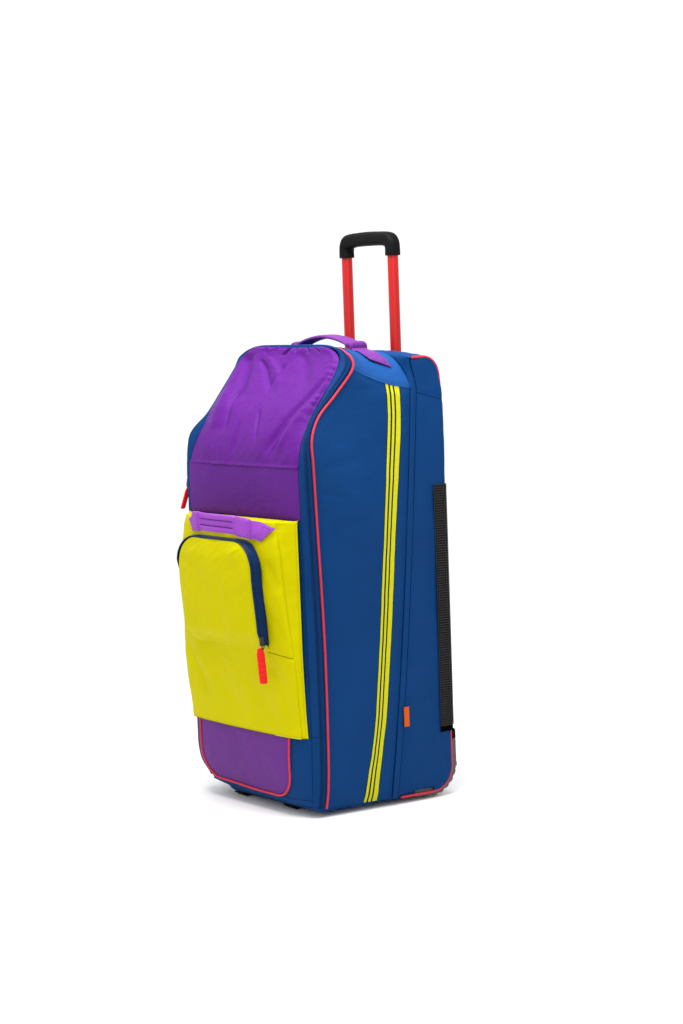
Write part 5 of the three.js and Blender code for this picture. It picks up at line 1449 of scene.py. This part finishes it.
def laid_on_pocket(points):
    """Sets the ends of the front handle back on the pocket."""
    x, y, z = np.moveaxis(points, -1, 0)
    laid_y = pocket_y(x, np.minimum(z, POCKET_TOP)) - 2.2
    return xyz(x, lerp(y, laid_y, smooth((np.abs(x) - 104) / 16)), z)


def both_hands(half):
    """A path from its right half, whose last point is in the middle."""
    half = np.array(half, float)
    return np.concatenate([half, half[-2::-1] * [-1, 1, 1]])


PATH_STEPS = 400
STRIP_RINGS = 240
STRIP_SIDES = 48
GROOVE_PLACE = 0.36  # of the way from the middle to an edge


def even_path(points):
    """A smooth path through points, with steps of one length."""
    path = through(points, np.linspace(0, 1, 2000))
    run = run_along(path[None], 1)[0]
    even = np.linspace(0, run[-1], PATH_STEPS)
    return np.stack([np.interp(even, run, path[:, k]) for k in range(3)], axis=1)


def padded_strip(name, path, wide, facing, width, thickness, slant, laid, grooves=0.0):
    """A flat section with round edges carried along a path: across is a flattened circle, whose thickness
    varies along it and dips at two sewn lines, and each end is cut on a slant. laid sets its underside
    down."""
    round_it = np.linspace(0, 2 * math.pi, STRIP_SIDES, endpoint=False)
    s, angle = np.meshgrid(np.linspace(0, 1, STRIP_RINGS), round_it, indexing="ij")
    across = np.sign(np.cos(angle)) * np.abs(np.cos(angle)) ** 0.55
    deep = np.sign(np.sin(angle)) * np.abs(np.sin(angle)) ** 0.55
    trim = slant * (1 - (across + 1) / 2)
    place = lerp(trim, 1 - trim, s)
    line = np.linspace(0, 1, len(path))
    point = np.stack([np.interp(place, line, path[:, k]) for k in range(3)], axis=-1)
    tangent = unit(np.gradient(path, axis=0))
    out = np.cross(tangent, wide)
    out *= np.sign(np.sum(out * (path - facing), axis=1, keepdims=True))
    push = np.stack([np.interp(place, line, out[:, k]) for k in range(3)], axis=-1)
    half = np.interp(np.abs(2 * place - 1), thickness[0], thickness[1]) / 2
    middle = smooth((0.36 - np.abs(2 * place - 1)) / 0.05)
    lines = sum(np.exp(-((across - c) / 0.07) ** 2) for c in (-GROOVE_PLACE, GROOVE_PLACE))
    half = half * (1 - grooves * middle * lines)
    under = laid(point + np.asarray(wide) * (across * width / 2)[..., None])
    points = under + push * (deep * half + half)[..., None]
    uv = np.stack([across * width / 2, s * STRIP_LENGTH * 1000], axis=-1)
    caps = np.concatenate([points[:1] * 0 + points[0].mean(0), points, points[-1:] * 0 + points[-1].mean(0)])
    uv = np.concatenate([uv[:1], uv, uv[-1:]])
    quads = sheet_quads(len(caps), STRIP_SIDES, around=True)
    # The two sewn lines are drawn as lines of painted shade.
    seam = np.where(middle * grooves > 0, ON_LINE + (np.abs(across) - GROOVE_PLACE) * width / 2, 0)
    seam = np.concatenate([seam[:1], seam, seam[-1:]])
    return mesh_object(name, caps.reshape(-1, 3), quads, uv.reshape(-1, 2), {"seam": seam}, sharp=70)


def facing_out(piece):
    """Turns a closed mesh's faces outwards if its volume is negative."""
    mesh = piece.data
    mesh.calc_loop_triangles()
    corner = np.zeros(len(mesh.loop_triangles) * 3, np.int32)
    place = np.zeros(len(mesh.vertices) * 3)
    mesh.loop_triangles.foreach_get("vertices", corner)
    mesh.vertices.foreach_get("co", place)
    a, b, c = place.reshape(-1, 3)[corner].reshape(-1, 3, 3).transpose(1, 0, 2)
    if np.sum(a * np.cross(b, c)) < 0:
        mesh.flip_normals()
    return piece


top_path = even_path(both_hands([
    (176, TOP_HANDLE_Y, on_top(176, TOP_HANDLE_Y)), (153, TOP_HANDLE_Y, on_top(153, TOP_HANDLE_Y)),
    (125, TOP_HANDLE_Y, on_top(125, TOP_HANDLE_Y) + 1), (102, TOP_HANDLE_Y, 852), (79, TOP_HANDLE_Y, 861.5),
    (42, TOP_HANDLE_Y, 871), (0, TOP_HANDLE_Y, 875),
]))
front_path = even_path([
    (157, -202, 521), (124, -211, 529), (93, -218.5, 537), (52, -228, 541.5), (0, -234, FRONT_HANDLE_Z),
    (-50, -229, FRONT_HANDLE_Z), (-86, -219.5, 540), (-110, -210.5, 533), (-132, -204, 525),
])
UNDER_TOP = np.array([0, TOP_HANDLE_Y, 600])
BEHIND_FRONT = np.array([0, 0, FRONT_HANDLE_Z])
ACROSS_TOP = np.array([0, 1.0, 0])
UP = np.array([0, 0, 1.0])
TOP_THICKNESS = [(0, 0.36, 0.45, 0.62, 1), (7.5, 7.0, 5.0, 2.6, 2.4)]
FRONT_THICKNESS = [(0, 0.36, 0.42, 0.66, 1), (7.0, 6.5, 4.5, 2.6, 2.4)]
piece = padded_strip("top_grip", top_path, ACROSS_TOP, UNDER_TOP, 36, TOP_THICKNESS, 0.06, laid_on_top)
dress(facing_out(piece), top_webbing_painted_shade, "purple_webbing", "top_handle")
piece = padded_strip("front_grip", front_path, UP, BEHIND_FRONT, 34, FRONT_THICKNESS, 0.12, laid_on_pocket,
                     grooves=0.6)
dress(facing_out(piece), front_webbing, "purple_webbing", "front_handle")

TOP_BAND = (0.23, 0.278)
FRONT_BAND = (0.19, 0.31)
TOP_BAND_THICKNESS = [(0, 0.5, 0.85, 1), (13.5, 12.5, 9.5, 6)]
FRONT_BAND_THICKNESS = [(0, 0.8, 1), (9.5, 9, 6)]
for hand in ("right", "left"):
    for name, finish, band, path, *section in (
        ("top", top_webbing_painted_shade, TOP_BAND, top_path, ACROSS_TOP, UNDER_TOP, 40, TOP_BAND_THICKNESS),
        ("front", front_webbing, FRONT_BAND, front_path, UP, BEHIND_FRONT, 37, FRONT_BAND_THICKNESS),
    ):
        low, high = band if hand == "right" else (1 - band[1], 1 - band[0])
        stretch = path[int(low * PATH_STEPS):int(high * PATH_STEPS)]
        piece = padded_strip(f"{name}_grip_band_{hand}", stretch, *section, slant=0, laid=np.asarray)
        dress(facing_out(piece), finish, "purple_webbing", f"{name}_handle_band_{hand}")

# The rear vents
# An open black net, knitted in small squares, wraps each rear corner over a black backing cloth.
MESH_FOOT = 137
MESH_TOP = 595
MESH_FRONT_Y = 128
MESH_BACK_X = 150
MESH_TURN_X = 184
MESH_CORNER_X = 210
MESH_CORNER_Y = 168.5
NET_PITCH = 4.7
NET_STRAND = 0.62
net_thread = Finish("net_thread", 0.6, specular_ior_level=0.08)
fuzz = net_thread.noise(400, 3)
net_thread.feed("Base Color", fuzz.blend((0.02, 0.019, 0.019), (0.05, 0.047, 0.046)))
net_thread.bump(fuzz, 0.0004, 0.4)
net_backing = woven("net_backing", (0.002, 0.002, 0.0025), roughness=0.9, mottle=0.2, gloss=0.0)


def vent_face(u, v):
    """From the side, round the corner on a curve with one control point, onto the back."""
    z = lerp(MESH_FOOT, MESH_TOP, v)
    on_side = np.clip(u / 0.35, 0, 1)
    round_it = np.clip((u - 0.35) / 0.2, 0, 1)[..., None]
    on_back = np.clip((u - 0.55) / 0.45, 0, 1)
    y = lerp(MESH_FRONT_Y, BACK_Y - REAR_CORNER, on_side)
    start = xyz(HALF_WIDTH + side_bulge(y, z) + 3.0, y, z)
    x = lerp(MESH_TURN_X, MESH_BACK_X, on_back)
    share = np.minimum(1, x / BACK_EDGE_X)
    back_swell = BACK_SWELL * (1 - share ** 4) - 3 * share ** 8
    end = xyz(x, BACK_Y + np.maximum(3.8, back_swell + 2.8), z)
    corner = xyz(MESH_CORNER_X + side_bulge(BACK_Y - REAR_CORNER, z), MESH_CORNER_Y, z)
    return start * (1 - round_it) ** 2 + corner * 2 * round_it * (1 - round_it) + end * round_it ** 2


def even_columns(points, columns):
    """A grid again, with its columns evenly spaced along each row."""
    run = run_along(points, 1)
    share = run[len(run) // 2] / run[len(run) // 2, -1]
    even = np.linspace(0, 1, columns)
    k = np.clip(np.searchsorted(share, even) - 1, 0, len(share) - 2)
    w = ((even - share[k]) / (share[k + 1] - share[k]))[:, None]
    return points[:, k] * (1 - w) + points[:, k + 1] * w


def strands(points, normal, sideways, lift):
    """A flat diamond section along each row of a grid: points out, to one side, in and to the other side."""
    ways = (normal * 0.6, sideways, -normal * 0.6, -sideways)
    ring = np.stack([points + normal * lift + way * NET_STRAND for way in ways], axis=2)
    rows, columns = points.shape[:2]
    quads = [sheet_quads(columns, 4, j * columns * 4, around=True) for j in range(rows)]
    return ring.reshape(-1, 3), np.concatenate(quads)


u, v = grid(240, int((MESH_TOP - MESH_FOOT) / NET_PITCH), rim=0)
down_to_cap = (GUARD_HEAD - 4 - MESH_FOOT) / (MESH_TOP - MESH_FOOT)
for hand, side in (("right", 1), ("left", -1)):
    fine = vent_face(u, v) * [side, 1, 1]
    columns = int(run_along(fine, 1)[0, -1] / NET_PITCH) + 1
    points = even_columns(fine, columns)
    normal = outward(points, INSIDE)
    along = unit(np.gradient(points, axis=0))
    across = unit(np.gradient(points, axis=1))
    level = strands(points, normal, along, 0.3)
    upright = strands(points.swapaxes(0, 1), normal.swapaxes(0, 1), across.swapaxes(0, 1), 0.0)
    net_points, net_quads = joined([level, upright])
    piece = facing_out(mesh_object(f"vent_net_{hand}", net_points, net_quads))
    dress(piece, net_thread, "black_mesh", f"vent_mesh_{hand}")
    backing = even_columns(vent_face(u, lerp(down_to_cap, 1, v)) * [side, 1, 1], 30)
    back_normal = outward(backing, INSIDE)
    piece = wall(f"vent_backing_{hand}", backing - back_normal * 1.1, back_normal, 0.6)
    dress(piece, net_backing, "black_mesh")

# The tab
# A short folded orange tape, sewn into the seam behind the main zip.
LABEL_FOOT = 148
LABEL_HEIGHT = 37
LABEL_REACH = 12
ORANGE = (0.5, 0.085, 0.008)
orange_tape = woven("orange_tape", ORANGE, roughness=0.55, pitch=0.0009, depth=0.0002, mottle=0.12)
tab_y = float(zip_front_y(LABEL_FOOT)) + ZIP_WIDTH
tab_x = HALF_WIDTH + float(side_bulge(np.array(tab_y), np.array(LABEL_FOOT + LABEL_HEIGHT / 2.0))) + GAP + 1.4
s, v = grid(40, 16, rim=0)
turn = np.clip((s - 0.45) / 0.1, 0, 1) * math.pi
reach = np.where(s < 0.45, s / 0.45, np.where(s > 0.55, (1 - s) / 0.45, 1)) * (LABEL_REACH - 1)
fold_x, fold_y = tab_x + 1, tab_y - 1 + reach
flat = xyz(fold_x + 0.95 * np.cos(turn), fold_y + 0.95 * np.sin(turn), LABEL_FOOT + LABEL_HEIGHT * v)
normal = outward(flat, flat.mean((0, 1)))
dress(wall("side_tab", flat, normal, 0.7), orange_tape, "orange_label", "side_label")

# The pull handle
# Two red painted aluminium tubes slide in hidden sleeves and end in a moulded black grip with a collar on
# each leg. A hem is sewn round the hole that each tube comes out of.
TUBE_FOOT = 560
COLLAR_FOOT = 1029
GRIP_CREST = 1063
GRIP_HALF_DEPTH = 13.5
TUBE_REDS = [(0.2838, 0.00344, 0.00301), (0.33, 0.004, 0.0035)]
tube_paint = two_toned("tube_paint", TUBE_REDS, (0.2, 0.34), (420, 3, (1, 1, 0.02)), specular_ior_level=0.3)
PULL = "pull_handle"


def turned_piece(name, profile, centre, axis, sides=48):
    """A profile of radius and height turned round an upright axis, or one that lies along X."""
    profile = np.array(profile, float)
    angle = np.linspace(0, 2 * math.pi, sides, endpoint=False)
    radius, height = profile[:, :1], np.broadcast_to(profile[:, 1:], (len(profile), sides))
    a, b = radius * np.cos(angle), radius * np.sin(angle)
    points = xyz(a, b, height) if axis == "z" else xyz(height, a, b)
    uv = np.stack([np.broadcast_to(angle * profile[:, 0].max(), a.shape), height], axis=-1)
    quads = sheet_quads(len(profile), sides, around=True)
    return facing_out(mesh_object(name, points.reshape(-1, 3) + centre, quads, uv.reshape(-1, 2), sharp=35))


for hand, side in (("right", 1), ("left", -1)):
    head = COLLAR_FOOT + 19
    rings = [(0, TUBE_FOOT), (TUBE_RADIUS - 1, TUBE_FOOT), (TUBE_RADIUS, TUBE_FOOT + 1.5), (TUBE_RADIUS, 700),
             (TUBE_RADIUS, 840), (TUBE_RADIUS, 940), (TUBE_RADIUS, head), (0, head)]
    piece = turned_piece(f"red_tube_{hand}", rings, [side * TUBE_X, TUBE_Y, 0], "z")
    dress(piece, tube_paint, "red_tube", f"pull_tube_{hand}", body=PULL)
    hem = np.linspace(0, 2 * math.pi, 49)
    ring_x = side * TUBE_X + (TUBE_RADIUS + 2.0) * np.cos(hem)
    ring_y = TUBE_Y + (TUBE_RADIUS + 2.0) * np.sin(hem)
    past_turn = np.maximum(0, ring_y - 4.5 - BACK_Y + TOP_BACK_RADIUS)
    slope = np.sqrt(np.maximum(0, TOP_BACK_RADIUS ** 2 - past_turn ** 2))
    path = xyz(ring_x, ring_y, REAR_TOP - TOP_BACK_RADIUS + slope)
    dress(tube(f"tube_hole_hem_{hand}", path, 1.7), blue_cloth, "blue_cloth")



def coat(node, finish):
    """Gives a piece of the solid model, which is seen as it is, a finish in place of its plain colour."""
    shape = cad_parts[node]
    shape.data.materials.clear()
    shape.data.materials.append(finish.material)
    return shape


DRAWN = (300, 2, (1, 1, 0.05))
ALUMINIUM = [(0.6, 0.61, 0.62), (0.74, 0.75, 0.76)]
coat("pull_guide", two_toned("sleeve_aluminium", ALUMINIUM, (0.3, 0.5), DRAWN, metallic=1.0))

GRIP_BLACKS = [(0.003, 0.003, 0.0033), (0.006, 0.006, 0.0064)]
black_plastic = Finish("black_plastic", 0.45, specular_ior_level=0.03)
pores = black_plastic.noise(900, 2)
black_plastic.feed("Base Color", black_plastic.noise(30, 3).blend(*GRIP_BLACKS))
black_plastic.feed("Roughness", pores * 0.18 + 0.33)
black_plastic.bump(pores, 0.00025, 0.35)

GRIP_ROWS = [
    {"x": -TUBE_X, "z": COLLAR_FOOT, "half": 12.4},
    {"x": -TUBE_X, "z": COLLAR_FOOT + 3, "half": 13.2},
    {"x": -TUBE_X, "z": COLLAR_FOOT + 14, "half": 12.9},
    {"x": -TUBE_X + 2.2, "z": COLLAR_FOOT + 24, "half": 13.8},
    {"x": -TUBE_X + 9, "z": GRIP_CREST - 4, "half": 14.6},
    {"x": -TUBE_X + 24, "z": GRIP_CREST - 1, "half": 13.8},
    {"x": -TUBE_X * 0.4, "z": GRIP_CREST, "half": 13.6},
    {"x": 0, "z": GRIP_CREST + 0.5, "half": 13.9},
]
grip_rows = GRIP_ROWS + [{**row, "x": -row["x"]} for row in GRIP_ROWS[-2::-1]]
t = np.linspace(0, 1, 180)
line = xyz(through([r["x"] for r in grip_rows], t), TUBE_Y, through([r["z"] for r in grip_rows], t))
half = through([float(r["half"]) for r in grip_rows], t)
heading = unit(np.gradient(line, axis=0))
heading[0], heading[-1] = (0, 0, 1), (0, 0, -1)
across = np.stack([-heading[:, 2], 0 * t, heading[:, 0]], axis=1)
GRIP_SIDES = 40
angle = np.linspace(0, 2 * math.pi, GRIP_SIDES, endpoint=False)
squared = [np.sign(f) * np.abs(f) ** 0.72 for f in (np.cos(angle), np.sin(angle))]
points = line[:, None] + across[:, None] * (half[:, None] * squared[0])[..., None]
points = points + np.array([0, GRIP_HALF_DEPTH, 0]) * squared[1][:, None]
foot = lerp(line[[0, -1], None], points[[0, -1]], 0.86)
points = np.concatenate([foot[:1] * 0 + line[0], foot[:1], points, foot[1:], foot[1:] * 0 + line[-1]])
quads = sheet_quads(len(points), GRIP_SIDES, around=True)
grip = facing_out(mesh_object("moulded_grip", points.reshape(-1, 3), quads, sharp=60))
dress(grip, black_plastic, "black_plastic", "pull_grip", body=PULL)

# Wheels and guards
# Each rear corner has a ribbed grey moulding round a wheel with a rubber tyre and a hub on a steel axle, and
# a black cap on its head. Two black runners carry the front.
grey_plastic = Finish("grey_plastic", 0.5, specular_ior_level=0.25)
scuffs = grey_plastic.noise(55, 5)
grey_plastic.feed("Base Color", scuffs.blend((0.05, 0.046, 0.047), (0.095, 0.088, 0.09)))
grey_plastic.feed("Roughness", grey_plastic.noise(200, 3) * 0.25 + 0.4)
grey_plastic.bump(grey_plastic.noise(700, 2), 0.0003, 0.4)
RUBBER = [(0.008, 0.008, 0.008), (0.03, 0.03, 0.029)]
rubber = two_toned("wheel_rubber", RUBBER, (0.5, 0.75), (80, 5), specular_ior_level=0.15)
STEEL = [(0.42, 0.42, 0.43), (0.58, 0.58, 0.6)]
steel = two_toned("axle_steel", STEEL, (0.25, 0.45), DRAWN, metallic=1.0)
for hand in ("right", "left"):
    coat(f"axle_{hand}", steel)
WHEEL_X = 168
WHEEL_RADIUS = 42
HALF_WHEEL = 12
HUB_RADIUS = 24
AXLE_RADIUS = 4

# The tyre's section is a crown with two grooves and the hub's is dished on both faces, each as rings of
# radius and place along the axle
crown = np.linspace(-1, 1, 25)
grooves = sum(np.exp(-((crown - place) / 0.06) ** 2) for place in (-0.4, 0.4))
tread = WHEEL_RADIUS - 5 * np.abs(crown) ** 4 - 0.9 * grooves
bead = (HUB_RADIUS + 0.4, -HALF_WHEEL + 2)
tyre_rings = [bead, *zip(tread, crown * HALF_WHEEL), (bead[0], -bead[1]), bead]
hub_face = [
    (AXLE_RADIUS + 0.5, -HALF_WHEEL), (HUB_RADIUS * 0.45, -HALF_WHEEL),
    (HUB_RADIUS * 0.5, -HALF_WHEEL + 1), (HUB_RADIUS * 0.56, -HALF_WHEEL + 5),
    (HUB_RADIUS - 4, -HALF_WHEEL + 5), (HUB_RADIUS - 2.5, -HALF_WHEEL + 2), (HUB_RADIUS, -HALF_WHEEL + 2),
]
hub_rings = [*hub_face, *((radius, -x) for radius, x in hub_face[::-1]), hub_face[0]]

for hand, side in (("right", 1), ("left", -1)):
    centre = np.array([side * WHEEL_X, AXLE_Y, AXLE_Z])
    wheel = f"wheel_{hand}"
    piece = turned_piece(f"tyre_{hand}", tyre_rings, centre, "x", 72)
    dress(piece, rubber, "wheel_rubber", f"wheel_tyre_{hand}", body=wheel)
    piece = turned_piece(f"hub_{hand}", hub_rings, centre, "x", 72)
    dress(piece, grey_plastic, "grey_plastic", f"wheel_hub_{hand}", body=wheel)

for node, finish in (("wheel_guard", grey_plastic), ("guard_cap", black_plastic), ("skid", black_plastic)):
    for hand in ("right", "left"):
        shape = coat(f"{node}_{hand}", finish)
        shape.modifiers.new("merge", "WELD").merge_threshold = 0.00001
        soften = shape.modifiers.new("edges", "BEVEL")
        soften.width = 0.0012
        soften.segments = 2
        soften.limit_method = "ANGLE"
        soften.angle_limit = math.radians(35)
